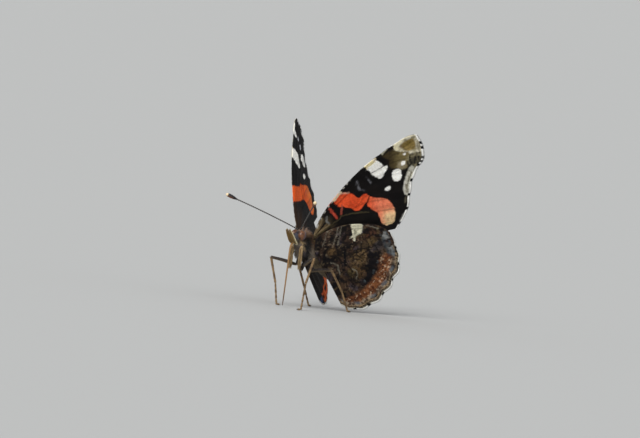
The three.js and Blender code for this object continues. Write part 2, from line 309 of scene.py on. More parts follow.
body_nodes = ["head", "thorax_front", "thorax", "abdomen_1", "abdomen_2", "abdomen_3", "abdomen_4"]
skin = fused("body_skin", body_nodes, skin_voxel, fuse_margin)
skin_places = to_body(points_of(skin.data))
skin_normals = to_body(normals_of(skin.data) + wing_base)
skin_back = skin_places[:, 1]
abdomen_along = unit(abdomen_end - abdomen_start)
down_abdomen = (skin_places - abdomen_start) @ abdomen_along
on_abdomen = ease(0.6, 1.8, down_abdomen)
on_head = 1 - ease(-2.25, -1.75, skin_back)
depth = thorax_depth + (head_depth - thorax_depth) * on_head
depth += (abdomen_depth - thorax_depth) * on_abdomen
ring_part = np.abs((down_abdomen / abdomen_ring) % 1 - 0.5) * 2
depth += abdomen_groove * on_abdomen * ease(0.72, 1.0, ring_part)
skin_places = skin_places - skin_normals * (depth + fuse_margin)[:, None]
move_points(skin.data, from_body(skin_places))
skin.data.update()

# The hair is grey-brown below and olive-brown to chestnut above. The collar has a lilac-grey bloom,
# the crown is golden and the abdomen is dark above and buff below. A near-black painted shadow runs
# down behind the eye, in the gap between head and thorax, with a buff streak ahead of it. The front
# of the face is painted a shaded blue-grey, and the lower flanks are lightened, partly for their pale
# hair and partly as painted light against the shade of the wings.
skin_rise = skin_normals[:, 2]
skin_height = skin_places[:, 2]
coat_shade = 0.8
# How far the lower flanks are lightened: partly for their pale grey-brown hair, partly as painted light
# against the shade the wings cast there.
pale_lit_flank_gain = 1.6
mottle = cloud(skin_places, 0.7, 11)
abdomen_coat = layered(mixed((120, 104, 84), (158, 140, 112), mottle), [
    (mixed((34, 27, 24), (78, 58, 42), mottle), ease(-0.45, 0.1, skin_rise)),
    ((150, 132, 104), 0.5 * ease(0.8, 1.0, ring_part)),
])
collar = ease(-2.4, -1.9, skin_back) * (1 - ease(-1.3, -0.6, skin_back))
crown = np.exp(-(((skin_back + 1.9) / 0.8) ** 2)) * ease(0.1, 0.6, skin_rise)
coat = layered(mixed((84, 76, 70), (140, 128, 112), mottle), [
    (mixed((96, 70, 48), (132, 98, 66), mottle), ease(-0.3, 0.45, skin_rise)),
    ((128, 114, 118), collar * ease(0.35, 0.75, cloud(skin_places, 0.9, 5))),
    (abdomen_coat, on_abdomen),
    (mixed((150, 116, 86), (176, 148, 132), mottle), crown),
])
# Painted shadow: a near-black strip of hair down behind the eye, for the shade that lies in the gap
# between the head and the thorax.
neck_shadow_back = np.interp(skin_height, [-3.6, -2.6, -1.6, -0.5], [0.1, -0.7, -1.2, -1.4])
painted_neck_shadow = np.exp(-(((skin_back - neck_shadow_back) / 0.72) ** 4)) * ease(-4.6, -3.8, skin_height)
cheek_back = np.interp(skin_height, [-2.6, -1.87, -0.84], [-1.4, -1.9, -2.7])
cheek = np.exp(-(((skin_back - cheek_back) / 0.22) ** 2)) * ease(-2.9, -2.5, skin_height)
# The lower flanks of the thorax under the wings: paler hair there, and painted light that makes up for
# the wings' shade.
pale_lit_flank = ease(-0.4, 0.4, skin_back) * (1 - ease(0.2, 0.8, skin_rise)) * (1 - on_abdomen)
# Painted shade: the front of the face is tinted dark blue-grey because it lies in shadow.
face = on_head * (1 - ease(-3.6, -3.2, skin_back))
coat = layered(coat * (1.1 + pale_lit_flank_gain * pale_lit_flank)[:, None], [
    ((9, 8, 9), painted_neck_shadow * (1 - ease(-0.6, 0.3, skin_height))),
    ((214, 184, 134), cheek * (1 - ease(-1.3, -0.9, skin_height))),
    ((70, 68, 78), face * ease(-0.6, 0.3, skin_rise + 0.6)),
])
store(skin.data, "tint", coat * coat_shade, "FLOAT_COLOR")

# Hair lies backwards and a little down, and stands up most on the crown.
backwards = np.tile([0.0, 1.0, -0.18], (len(skin_places), 1))
backwards[:, 0] += 0.12 * (cloud(skin_places, 0.5, 21) - 0.5)
backwards[:, 2] += 0.5 * (cloud(skin_places, 0.5, 22) - 0.5)
along_skin = unit(backwards - skin_normals * np.sum(backwards * skin_normals, 1)[:, None])
hair_lift = 0.30 + 0.22 * (1 - on_abdomen) * (1 - on_head) + 0.5 * crown
lie = unit(along_skin + skin_normals * hair_lift[:, None])
store(skin.data, "lie", turn_from_body(lie))
hair_length = 1.25 - 0.75 * on_head - 0.55 * on_abdomen + 0.7 * crown
hair_thickness = np.full(len(hair_length), 0.045)
store(skin.data, "size", np.stack([hair_thickness, hair_length, hair_thickness], 1) * MM)
store(skin.data, "hairiness", 1 - 0.45 * on_abdomen + 0.9 * crown, "FLOAT")

# The skin's own unwrap: round the body across, and from head to tail upwards.
bake_edge, bake_extent = 0.02, 0.96
skin_bake_width = 0.85
skin_front, skin_length = -4.2, 20
corner_points = np.zeros(len(skin.data.loops), np.int32)
skin.data.loops.foreach_get("vertex_index", corner_points)
axis_height = np.interp(skin_back, [-3.7, -1.5, 1, 4, 15], [-0.8, -1.2, -1.6, -1.8, -4.5])
around = np.arctan2(skin_places[:, 0], skin_places[:, 2] - axis_height) / (2 * math.pi) + 0.5
corner_around = around[corner_points]
polygon_of_corner = np.repeat(
    np.arange(len(skin.data.polygons)), [p.loop_total for p in skin.data.polygons]
)
polygon_high = np.zeros(len(skin.data.polygons))
np.maximum.at(polygon_high, polygon_of_corner, corner_around)
corner_around = np.where(
    (polygon_high[polygon_of_corner] > 0.8) & (corner_around < 0.2), corner_around + 1, corner_around
)
corner_back = (skin_back[corner_points] - skin_front) / skin_length
skin_map = np.stack([corner_around * skin_bake_width, corner_back * bake_extent], 1)
store(skin.data, "OFBake", bake_edge + skin_map, "FLOAT2", "CORNER")


def add_socket(tree, label, kind, way="INPUT"):
    return tree.interface.new_socket(name=label, in_out=way, socket_type=f"NodeSocket{kind}").identifier


def dusting_group():
    """Fine speckle on a colour and a height for bump, as scales and dust give."""
    group = bpy.data.node_groups.new("dusting", "ShaderNodeTree")
    for label, kind in [("Color", "Color"), ("Grain", "Float"), ("Amount", "Float")]:
        add_socket(group, label, kind)
    add_socket(group, "Color", "Color", "OUTPUT")
    add_socket(group, "Height", "Float", "OUTPUT")
    given = group.nodes.new("NodeGroupInput")
    place = add_node(group, "ShaderNodeTexCoord")
    noise = add_node(group, "ShaderNodeTexNoise", {
        "Vector": output(place, "Object"), "Scale": output(given, "Grain"),
        "Detail": 3.0, "Roughness": 0.6,
    })
    swing = reckon(group, "SUBTRACT", output(noise, "Fac"), 0.5)
    strength = reckon(group, "MULTIPLY_ADD", swing, output(given, "Amount"), 1.0)
    scaled = add_node(group, "ShaderNodeVectorMath", {
        "Vector": output(given, "Color"), "Scale": strength,
    }, operation="SCALE")
    made = group.nodes.new("NodeGroupOutput")
    group.links.new(output(scaled), made.inputs["Color"])
    group.links.new(output(noise, "Fac"), made.inputs["Height"])
    return group


dusting = dusting_group()


def tinted_finish(name, roughness, grain, amount, bump, sheen=0.0, specular=0.4, coat=0.0):
    """A finish that takes its colour from the piece's own tint, with fine dusting and bump."""
    finish = bpy.data.materials.new(name)
    finish.use_nodes = True
    tree = finish.node_tree
    surface = tree.nodes["Principled BSDF"]
    tint = add_node(tree, "ShaderNodeAttribute", attribute_name="tint", attribute_type="GEOMETRY")
    dust = add_node(tree, "ShaderNodeGroup", node_tree=dusting)
    for label, value in [("Color", output(tint, "Color")), ("Grain", grain), ("Amount", amount)]:
        give(tree, dust.inputs[label], value)
    relief = add_node(tree, "ShaderNodeBump", {
        "Strength": bump, "Distance": 0.02 * MM, "Height": output(dust, "Height"),
    })
    for label, value in [
        ("Base Color", output(dust, "Color")), ("Normal", output(relief)), ("Roughness", roughness),
        ("Specular IOR Level", specular), ("Sheen Weight", sheen), ("Sheen Roughness", 0.4),
        ("Coat Weight", coat), ("Coat Roughness", 0.15),
    ]:
        give(tree, surface.inputs[label], value)
    return finish


def take_place(piece, slot, *nodes, finish=None):
    """The piece rides on the animal, takes the finish it is given and stands for those solids. slot is
    not used.
    """
    if finish:
        piece.data.materials.clear()
        piece.data.materials.append(finish)
    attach(piece, "root")
    if nodes:
        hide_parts(*nodes)


skin_finish = tinted_finish("cuticle", 0.75, 2500, 0.7, 0.5, sheen=0.2)


# Coat: soft hair rooted all over the skin. Each hair is a thin three-sided blade that lies along
# it, planted by a tree of nodes, and takes the tint at its root, a little lighter or darker than
# its neighbours.
patch_size = 0.003


def template(name, points, faces):
    """A small shape to be planted, one unit long along y, with its patch of the bake map."""
    data = bpy.data.meshes.new(name)
    data.from_pydata(points, [], faces)
    store(data, "OFBake", [
        [points[v][0] * patch_size * 0.5, (points[v][1] - 0.5) * patch_size]
        for face in faces for v in face
    ], "FLOAT2", "CORNER")
    data.polygons.foreach_set("use_smooth", [True] * len(faces))
    return bpy.data.objects.new(name, data)


def blade(curve, widths):
    """A tapering three-sided hair. curve holds its height at even steps, widths its thickness."""
    points, faces = [], []
    steps = len(curve) - 1
    for step, (height, width) in enumerate(zip(curve[:-1], widths)):
        for side in range(3):
            angle = math.radians(90 + 120 * side)
            points.append([math.cos(angle) * width, step / steps, height + math.sin(angle) * width])
    tip = len(points)
    points.append([0, 1, curve[-1]])
    for step in range(steps - 1):
        for side in range(3):
            a, b = step * 3 + side, step * 3 + (side + 1) % 3
            faces.append([a, b, b + 3, a + 3])
    last = (steps - 1) * 3
    faces += [[last + side, last + (side + 1) % 3, tip] for side in range(3)]
    faces.append([2, 1, 0])
    return points, [face[::-1] for face in faces]


def planting_tree(name, on_skin):
    """Plants a form on points, or on points strewn over a skin, along each point's lie."""
    tree = bpy.data.node_groups.new(name, "GeometryNodeTree")
    add_socket(tree, "Geometry", "Geometry")
    wanted = [("Form", "Object"), ("Finish", "Material"), ("Spread", "Float"), ("Seed", "Int")]
    if on_skin:
        wanted.append(("Density", "Float"))
    sockets = {label: add_socket(tree, label, kind) for label, kind in wanted}
    add_socket(tree, "Geometry", "Geometry", "OUTPUT")
    given = tree.nodes.new("NodeGroupInput")

    def named(label, kind="FLOAT_VECTOR"):
        return output(add_node(tree, "GeometryNodeInputNamedAttribute", {"Name": label}, data_type=kind))

    def keep(geometry, label, value, kind="FLOAT_VECTOR", domain="POINT"):
        return output(add_node(tree, "GeometryNodeStoreNamedAttribute", {
            "Geometry": geometry, "Name": label, "Value": value,
        }, data_type=kind, domain=domain))

    roots = output(given, "Geometry")
    if on_skin:
        closeness = reckon(tree, "MULTIPLY", output(given, "Density"), named("hairiness", "FLOAT"))
        strewn = add_node(tree, "GeometryNodeDistributePointsOnFaces", {
            "Mesh": roots, "Density": closeness, "Seed": output(given, "Seed"),
        })
        roots = keep(output(strewn, "Points"), "out", output(strewn, "Normal"))
        roots = keep(roots, "root_uv", named("OFBake"))
        roots = output(add_node(tree, "GeometryNodeRemoveAttribute", {
            "Geometry": roots, "Name": "OFBake",
        }))
    spread = output(given, "Spread")
    chance = add_node(tree, "FunctionNodeRandomValue", {
        "Min": reckon(tree, "SUBTRACT", 1.0, spread), "Max": reckon(tree, "ADD", 1.0, spread),
        "Seed": output(given, "Seed"),
    }, data_type="FLOAT")
    shade = add_node(tree, "ShaderNodeVectorMath", {
        "Vector": named("tint"), "Scale": output(chance),
    }, operation="SCALE")
    roots = keep(roots, "tint", output(shade), "FLOAT_COLOR")
    turn = add_node(tree, "FunctionNodeAxesToRotation", {
        "Primary Axis": named("lie"), "Secondary Axis": named("out"),
    }, primary_axis="Y", secondary_axis="Z")
    form = add_node(tree, "GeometryNodeObjectInfo", {"Object": output(given, "Form")})
    planted = add_node(tree, "GeometryNodeInstanceOnPoints", {
        "Points": roots, "Instance": output(form, "Geometry"), "Rotation": output(turn),
        "Scale": named("size"),
    })
    real = output(add_node(tree, "GeometryNodeRealizeInstances", {"Geometry": output(planted)}))
    moved = reckon(tree, "ADD", named("OFBake"), named("root_uv"), kind="ShaderNodeVectorMath")
    real = keep(real, "OFBake", moved, "FLOAT2", "CORNER")
    finished = add_node(tree, "GeometryNodeSetMaterial", {
        "Geometry": real, "Material": output(given, "Finish"),
    })
    made = tree.nodes.new("NodeGroupOutput")
    tree.links.new(output(finished), made.inputs["Geometry"])
    return tree, sockets


plant_on_points = planting_tree("plant on points", False)
plant_on_skin = planting_tree("plant on skin", True)
box_margin = 0.004


def plant(name, data, form, finish, spread, seed, density=None):
    """Forms planted on the points of data, or strewn on its faces, as a plain mesh that stays inside
    the solids' box and above the floor."""
    tree, sockets = plant_on_points if density is None else plant_on_skin
    piece = bpy.data.objects.new(name, data)
    bpy.context.scene.collection.objects.link(piece)
    planting = piece.modifiers.new("plant", "NODES")
    planting.node_group = tree
    given = {"Form": form, "Finish": finish, "Spread": spread, "Seed": seed, "Density": density}
    for label, socket in sockets.items():
        planting[socket] = given[label]
    made = plain_mesh(piece)
    for attribute, used in product(("lie", "out", "size", "root_uv", "hairiness"), (made, data)):
        if attribute in used.attributes:
            used.attributes.remove(used.attributes[attribute])
    lowest, highest = np.array(cad_box) / MM
    move_points(made, np.clip(points_of(made), lowest + box_margin, highest - box_margin))
    return piece


def root_points(name, places, lie, out, size, tint, root_uv):
    """Points to plant on, in millimetres, with what each plant needs."""
    data = bpy.data.meshes.new(name)
    data.from_pydata(np.asarray(places) * MM, [], [])
    store(data, "lie", lie)
    store(data, "out", out)
    store(data, "size", np.asarray(size) * MM)
    store(data, "tint", tint, "FLOAT_COLOR")
    store(data, "root_uv", np.concatenate([root_uv, np.zeros((len(root_uv), 1))], 1))
    return data


hair_form = template("hair", *blade([-0.04, 0.05, 0.1, 0.04], [0.5, 0.42, 0.26]))
hair_finish = tinted_finish("hair", 0.65, 1800, 0.35, 0.0, sheen=0.12, specular=0.2)
body_hairs_per_area = 82e6
body_hair = plant("body_hair", skin.data, hair_form, hair_finish, 0.35, 4, density=body_hairs_per_area)
take_place(body_hair, "body_hair")
take_place(skin, "body_hair", *body_nodes, finish=skin_finish)


# Eyes: two bulging domes of many small facets, chestnut with darker clouding and a painted grey-lilac
# sheen, the sky's reflection, on their back half, set in the sides of the head.
eye_size = np.array([1.44, 2.0, 2.2])
eye_place = np.array([1.0, -2.5, -0.3])
eye_subdivisions = 5
facets_per_metre = 13000.0
sides = (("left", 1), ("right", -1))
eye_finish = tinted_finish("eye", 0.38, 3500, 0.3, 0.6, specular=0.4, coat=0.15)
eye_tree = eye_finish.node_tree
facet_place = add_node(eye_tree, "ShaderNodeTexCoord")
facets = add_node(eye_tree, "ShaderNodeTexVoronoi", {
    "Vector": output(facet_place, "Object"), "Scale": facets_per_metre,
})
facet_relief = next(node for node in eye_tree.nodes if node.type == "BUMP")
facet_relief.invert = True
eye_tree.links.new(output(facets, "Distance"), facet_relief.inputs["Height"])

for side_name, side in sides:
    dome = bmesh.new()
    bmesh.ops.create_icosphere(dome, subdivisions=eye_subdivisions, radius=0.5)
    ball = np.array([vertex.co for vertex in dome.verts])
    faces = [[vertex.index for vertex in face.verts] for face in dome.faces]
    dome.free()
    eye = new_piece(f"eye_{side_name}_dome", from_body(ball * eye_size + eye_place * [side, 1, 1]), faces)
    clouding = ease(0.4, 0.8, cloud(ball * eye_size + 3 * side, 0.4, 71))
    # Painted sheen: the back of each eye is tinted grey-lilac for the sky's reflection on it.
    painted_eye_sheen = ease(-0.16, 0.16, ball[:, 1] + 0.2 * ball[:, 2])
    tint = layered(mixed((108, 68, 40), (58, 36, 28), clouding), [
        ((96, 86, 94), painted_eye_sheen * 0.85),
        ((40, 32, 30), ease(0.38, 0.48, ball[:, 2])),
    ])
    store(eye.data, "tint", tint, "FLOAT_COLOR")
    take_place(eye, "eye", f"eye_{side_name}", finish=eye_finish)


# Palps: two furry feelers hinged under the face, brown above with a cream streak outside, each a
# thin core of cuticle under a close coat of hair.
def smooth_line(points, closed=False):
    """A smooth line through the points."""
    points = np.array(points, float)
    count = len(points)
    last = count if closed else count - 1
    steps = np.linspace(0, last, 12 * last + 1)[: -1 if closed else None]
    start = np.minimum(steps.astype(int), last - 1)
    part = (steps - start)[:, None]
    clip = (lambda i: i % count) if closed else (lambda i: np.clip(i, 0, count - 1))
    before, here, there, after = (points[clip(start + k)] for k in (-1, 0, 1, 2))
    leave, arrive = (there - before) / 2, (after - here) / 2
    return (
        (2 * here - 2 * there + leave + arrive) * part**3
        + (3 * there - 3 * here - 2 * leave - arrive) * part**2
        + leave * part + here
    )


def reach_along(line):
    """How far each point of a line is from its start, along it."""
    return np.concatenate([[0], np.cumsum(np.linalg.norm(np.diff(line, axis=0), axis=1))])


def places_on(line, reach, at):
    return np.stack([np.interp(at, reach, column) for column in line.T], 1)


waist_depth = 0.14
waist_width = 0.14


def limb_part(points, radii, step=0.12, joints=None):
    """Places, radii and distances along a smooth path. radii are pairs of share and radius; both
    ends close as a ball does. joints is the spacing of shallow waists along it."""
    line = smooth_line(points)
    reach = reach_along(line)
    length = reach[-1]
    shares, widths = np.array(radii).T
    first, last = widths[0], widths[-1]
    cap = 1 - np.cos(np.linspace(0, math.pi / 2, 5))
    inner = np.linspace(first, length - last, max(int((length - first - last) / step), 3) + 1)
    at = np.concatenate([cap[:-1] * first, inner, length - cap[-2::-1] * last])
    path = places_on(line, reach, at)
    radius = np.interp(at / length, shares, widths)
    if joints:
        phase = (at / joints) % 1
        waist = np.exp(-((np.minimum(phase, 1 - phase) / waist_width) ** 2))
        radius = radius * (1 - waist_depth * waist)
    ends = np.where(at < length / 2, at / first, (length - at) / last)
    return path, radius * np.sqrt(1 - (1 - np.clip(ends, 0, 1)) ** 2), at


def limb(name, parts, sides_round=12):
    """Closed tubes in one piece with their own unwrap, and for each point: its part's number, the
    distance along it, the way off its side and the way along it."""
    points, faces, corners = [], [], []
    facts = {"part": [], "reach": [], "share": [], "off": [], "along": []}
    total = 0
    angles = np.arange(sides_round) / sides_round * 2 * math.pi
    for number, (path, radius, reach) in enumerate(parts):
        along = unit(np.gradient(path, axis=0))
        across = np.zeros_like(path)
        turn = np.cross(along[0], [0.31, 0.22, 1.0])
        for i, direction in enumerate(along):
            turn = unit(turn - direction * (turn @ direction))
            across[i] = turn
        third = np.cross(along, across)
        cos, sin = np.cos(angles)[:, None], np.sin(angles)[:, None]
        off = cos * across[:, None] + sin * third[:, None]
        rings = path[:, None] + radius[:, None, None] * off
        count = len(path)
        points += [path[:1], rings[1:-1].reshape(-1, 3), path[-1:]]
        facts["off"] += [-along[:1], off[1:-1].reshape(-1, 3), along[-1:]]
        repeats = np.array([1] + [sides_round] * (count - 2) + [1])
        facts["along"].append(np.repeat(along, repeats, axis=0))
        facts["reach"].append(np.repeat(reach, repeats))
        facts["share"].append(np.repeat(reach / reach[-1], repeats))
        facts["part"].append(np.full(repeats.sum(), number))
        final = total + 1 + (count - 2) * sides_round
        heights = reach / reach[-1]

        def corner(turn_count, height):
            across_map = (number + turn_count / sides_round) / len(parts)
            return [bake_edge + bake_extent * across_map, bake_edge + bake_extent * height]

        for k in range(sides_round):
            following = (k + 1) % sides_round
            faces.append([total, total + 1 + following, total + 1 + k])
            corners += [corner(k + 0.5, heights[0]), corner(k + 1, heights[1]), corner(k, heights[1])]
            for i in range(count - 3):
                here, ahead = total + 1 + i * sides_round, total + 1 + (i + 1) * sides_round
                faces.append([here + k, here + following, ahead + following, ahead + k])
                low, high = heights[i + 1], heights[i + 2]
                corners += [corner(k, low), corner(k + 1, low), corner(k + 1, high), corner(k, high)]
            here = total + 1 + (count - 3) * sides_round
            faces.append([final, here + k, here + following])
            corners += [corner(k + 0.5, 1.0), corner(k, heights[-2]), corner(k + 1, heights[-2])]
        total = final + 1
    piece = new_piece(name, np.concatenate(points), faces)
    store(piece.data, "OFBake", corners, "FLOAT2", "CORNER")
    return piece, {key: np.concatenate(values) for key, values in facts.items()}


limb_spread = 0.3


def coated(piece, facts, tint, form, length, thickness, lift, density, seed):
    """Gives the piece its tint and makes the coat of hair that lies along it."""
    data = piece.data
    store(data, "tint", tint, "FLOAT_COLOR")
    store(data, "lie", unit(facts["along"] + facts["off"] * lift))
    thin = np.full(len(data.vertices), thickness)
    store(data, "size", np.stack([thin, thin * 0 + length, thin], 1) * MM)
    store(data, "hairiness", np.ones(len(data.vertices)), "FLOAT")
    return plant(f"{piece.name}_hair", data, form, hair_finish, limb_spread, seed, density=density)


palp_route = [(0.5, -2.5, -2.45), (0.56, -3.7, -2.1), (0.5, -5, -1.35), (0.4, -6.1, -0.65)]
palp_radii = [(0, 0.24), (0.3, 0.3), (0.65, 0.27), (1, 0.14)]
for side_name, side in sides:
    route = from_body(np.array(palp_route) * [side, 1, 1])
    palp, facts = limb(f"palp_{side_name}_core", [limb_part(route, palp_radii)])
    outside = facts["off"] @ unit(np.array([side * 0.8, 0.55, -0.2]))
    tint = layered(mixed((132, 104, 56), (88, 68, 42), ease(0.2, 0.8, facts["off"][:, 2])), [
        ((236, 226, 186), ease(0.6, 0.8, outside)),
        ((222, 210, 176), 1 - ease(0.06, 0.16, facts["share"])),
    ])
    fur = coated(
        palp, facts, tint, hair_form, length=0.42, thickness=0.05, lift=0.22, density=210e6, seed=12
    )
    take_place(palp, "palp", f"palp_{side_name}", finish=skin_finish)
    take_place(fur, "palp")


# Proboscis: the drinking tube of horn-brown cuticle, two half tubes side by side with a groove
# between them and fine rings, let down from between the palps.
tongue_route = from_body([
    (0, -3.3, -2.45), (0, -3.75, -3.1), (0, -3.4, -4.7), (0, -2.75, -6.6), (0, -1.3, -11),
    (0, 0.1, -15.3),
])
tongue_radii = [(0, 0.19), (0.5, 0.17), (0.9, 0.13), (1, 0.07)]
tongue_step = 0.05
tongue_ring = 0.2
groove_depth = 0.035
proboscis, facts = limb(
    "proboscis_tube", [limb_part(tongue_route, tongue_radii, tongue_step, tongue_ring)], sides_round=16
)
groove = np.exp(-((facts["off"] @ np.array([1.0, 0, 0])) / 0.16) ** 2)
tint = layered(mixed((150, 112, 66), (84, 58, 36), ease(0.55, 1, facts["share"])), [
    ((58, 40, 28), groove * 0.7),
])
store(proboscis.data, "tint", tint, "FLOAT_COLOR")
sunk = groove * groove_depth * (facts["share"] < 0.99)
move_points(proboscis.data, points_of(proboscis.data) - facts["off"] * sunk[:, None])
tongue_finish = tinted_finish("proboscis", 0.42, 5000, 0.25, 0.2, specular=0.5)
take_place(proboscis, "proboscis", "proboscis", finish=tongue_finish)


# Antennae: stiff jointed shafts of cuticle, black with a fine white ring at each joint, that end in
# a thick club with a cream tip and are set in the crown of the head.
antenna_length, club_length, antenna_joint = 16.7, 2.6, 0.42
antenna_bow = 0.5
antenna_directions = {"left": (0.6812, -0.714, 0.162), "right": (-0.742, -0.66, 0.118)}
antenna_radii = [
    (0, 0.2), (0.02, 0.17), (0.05, 0.135), (0.83, 0.14), (0.85, 0.17), (0.885, 0.33), (0.925, 0.42),
    (0.965, 0.41), (1, 0.26),
]
antenna_finish = tinted_finish("antenna", 0.5, 6000, 0.3, 0.3, specular=0.4)
for side_name, side in sides:
    away = unit(np.array(antenna_directions[side_name]))
    root = np.array([side * 0.5, -2.95, 0.85])
    club_start = antenna_length - club_length
    route = [
        root + away * club_start * part + [0, 0, antenna_bow * part * (1 - part)]
        for part in np.linspace(0, 1, 7)
    ]
    route += [root + away * (antenna_length - short) for short in (1.3, 0.02)]
    shaft = limb_part(from_body(route), antenna_radii, 0.06, antenna_joint)
    antenna, facts = limb(f"antenna_{side_name}", [shaft])
    ringed = (facts["reach"] / antenna_joint) % 1
    on_shaft = 1 - ease(0.84, 0.86, facts["share"])
    below = ease(-0.1, 0.6, -facts["off"][:, 2])
    tint = layered(srgb(24, 20, 20), [
        ((206, 202, 192), (1 - ease(0.1, 0.2, ringed)) * on_shaft * 0.85),
        ((120, 70, 44), below * ease(0.87, 0.92, facts["share"]) * 0.8),
        ((238, 214, 172), ease(0.962, 0.985, facts["share"])),
    ])
    store(antenna.data, "tint", tint, "FLOAT_COLOR")
    solids = [f"antenna_{side_name}_{part}" for part in ("shaft", "club")]
    take_place(antenna, "antenna", *solids, finish=antenna_finish)


# Front legs: two short brushes folded under the collar, thin legs in long buff hair, hinged to the
# front of the thorax.
hanging = np.array([0, math.sin(body_pitch), -math.cos(body_pitch)])
for side_name, side in sides:
    root = np.array([side * 1.15, -1.75, -2.3])
    knee = root + hanging * 1.9 + [side * 0.1, -0.15, 0]
    tip = knee + hanging * 2.85
    brush, facts = limb(f"foreleg_{side_name}", [
        limb_part(from_body([root, knee]), [(0, 0.2), (1, 0.22)]),
        limb_part(from_body([knee, tip]), [(0, 0.22), (0.6, 0.2), (1, 0.1)]),
    ])
    off = facts["off"]
    streaks = cloud(np.stack([off[:, 0] * 2, off[:, 1] * 2, facts["reach"] * 0.4], 1), 0.5, 75)
    tint = mixed((112, 88, 60), (188, 160, 116), ease(0.2, 0.7, streaks))
    fur = coated(
        brush, facts, tint, hair_form, length=0.62, thickness=0.055, lift=0.42, density=190e6, seed=13
    )
    solids = [f"foreleg_{side_name}_{part}" for part in ("upper", "lower")]
    take_place(brush, "foreleg", *solids, finish=skin_finish)
    take_place(fur, "foreleg")


# Walking legs: coxa, thigh, shin and a foot of five small joints with two claws, tubes of cuticle
# in short close hair, dark on the thigh and tan below, hinged to the underside of the thorax. Each
# leg is given by hip, trochanter, knee and ankle, and by where its heel stands.
leg_joints = {
    "midleg_left": [
        (0.95, -0.1, -4.2), (0.95, -0.75, -5.75), (6, -3.7, -3.65), (5.5, -5, -9.05), (5.4, -5.5),
    ],
    "midleg_right": [
        (-0.95, -0.1, -4.2), (-0.95, -0.75, -5.75), (-6, -3.35, -4.8), (-5.3, -1.8, -10.15),
        (-5.2, -0.9),
    ],
    "hindleg_left": [
        (0.95, 1.9, -4.9), (0.95, 0.9, -6.85), (4.3, 4.5, -6.1), (4.8, 8.2, -10.55), (4.95, 10.4),
    ],
    "hindleg_right": [
        (-0.95, 1.9, -4.9), (-0.95, 0.9, -6.85), (-4.5, 4.3, -6), (-5.2, 7.7, -10.5), (-5.4, 10),
    ],
}
heel_height = 0.62
toe_reach = 0.84
toe_height = 0.21
foot_joint_lengths = [0.44, 0.2, 0.15, 0.1, 0.11]
foot_joint_radii = [(0, 0.14), (0.85, 0.18), (1, 0.15)]
short_hair_form = template("short hair", *blade([0.0, 0.08, 0.1], [0.5, 0.36]))
claw_finish = tinted_finish("claw", 0.35, 4000, 0.2, 0.1, specular=0.5)
claw_parts = []


def part_of_path(points, start, end):
    """The length of a smooth path between two shares of it."""
    line = smooth_line(points)
    reach = reach_along(line)
    return places_on(line, reach, np.linspace(start, end, 7) * reach[-1])


for seed, (leg, (*places, heel_place)) in enumerate(leg_joints.items()):
    hip, trochanter, knee, ankle = (wing_base + np.array(place) for place in places)
    heel = np.array([*(wing_base[:2] + heel_place), heel_height])
    lean = unit((heel - ankle) * [1, 1, 0])
    toe = heel * [1, 1, 0] + lean * toe_reach + [0, 0, toe_height]
    foot_route = [ankle, ankle + (heel - ankle) * 0.5, heel, heel + lean * 0.2 - [0, 0, 0.33], toe]
    thigh_route = [trochanter, (trochanter + knee) / 2 + [0, 0, 0.12], knee]
    parts = [
        limb_part([hip, trochanter], [(0, 0.42), (1, 0.3)]),
        limb_part(thigh_route, [(0, 0.26), (0.3, 0.33), (0.75, 0.27), (1, 0.25)]),
        limb_part([knee, (knee + ankle) / 2, ankle], [(0, 0.24), (0.5, 0.19), (1, 0.2)]),
    ]
    begin = 0.0
    for length in foot_joint_lengths:
        joint_route = part_of_path(foot_route, begin, begin + length)
        parts.append(limb_part(joint_route, foot_joint_radii))
        begin += length
    leg_skin, facts = limb(leg, parts, sides_round=10)
    thigh = (facts["part"] <= 1).astype(float)
    down = -facts["off"][:, 2]
    mottling = ease(0.35, 0.75, cloud(points_of(leg_skin.data), 0.6, 77))
    tint = layered(mixed((150, 122, 84), (112, 88, 60), mottling), [
        ((44, 35, 30), thigh * (1 - 0.3 * ease(0.8, 1, facts["share"]))),
        ((150, 130, 102), thigh * ease(0.35, 0.8, down) * 0.7),
    ])
    length = 0.24 + 0.2 * thigh * ease(0.2, 0.8, down)
    fur = coated(
        leg_skin, facts, tint, short_hair_form, length, thickness=0.045, lift=0.22, density=95e6,
        seed=20 + seed,
    )
    solids = [f"{leg}_{part}" for part in ("coxa", "femur", "tibia", "tarsus", "foot")]
    take_place(leg_skin, "leg", *solids, finish=skin_finish)
    take_place(fur, "leg")
    sideways = np.cross(lean, [0, 0, 1])
    for spread in (-1, 1):
        claw_route = [
            toe - [0, 0, 0.02],
            toe + lean * 0.12 + sideways * 0.08 * spread + [0, 0, 0.03],
            toe + lean * 0.24 + sideways * 0.13 * spread - [0, 0, 0.05],
            toe + lean * 0.25 + sideways * 0.14 * spread - [0, 0, 0.185],
        ]
        claw_parts.append(limb_part(claw_route, [(0, 0.055), (0.5, 0.045), (1, 0.012)], 0.04))
claws, facts = limb("claws", claw_parts, sides_round=8)
store(claws.data, "tint", mixed((58, 40, 26), (22, 16, 14), facts["share"]), "FLOAT_COLOR")
take_place(claws, "leg", finish=claw_finish)


# Wings: thin membranes on stiff veins, covered with scales and hinged to the sides of the thorax.
# Places on a wing are (outwards along the hind margin, towards the front edge) from its base. span
# runs from base to outer margin and chord from front to hind edge, both from 0 to 1.
wing_spacing = 4.15
wing_outwards = unit(np.array([0.4781, 0.6659, 0.5727]))
wing_forwards = np.array([0.1334, -0.6995, 0.702])
wing_forwards = unit(wing_forwards - wing_outwards * (wing_forwards @ wing_outwards))
wing_under = np.cross(wing_outwards, wing_forwards)
membrane_end = 0.966
membrane_half = 0.05
vein_rise = 0.075
vein_width = 0.16
pleat_rise = 0.1
pleat_width = 0.9
edge_steps = 400


def edge_line(*points):
    """A smooth line through the points, in even steps of its length."""
    line = smooth_line(points)
    reach = reach_along(line)
    return places_on(line, reach, np.linspace(0, reach[-1], edge_steps + 1))


def along_line(line, share):
    return places_on(line, np.linspace(0, 1, len(line)), share)


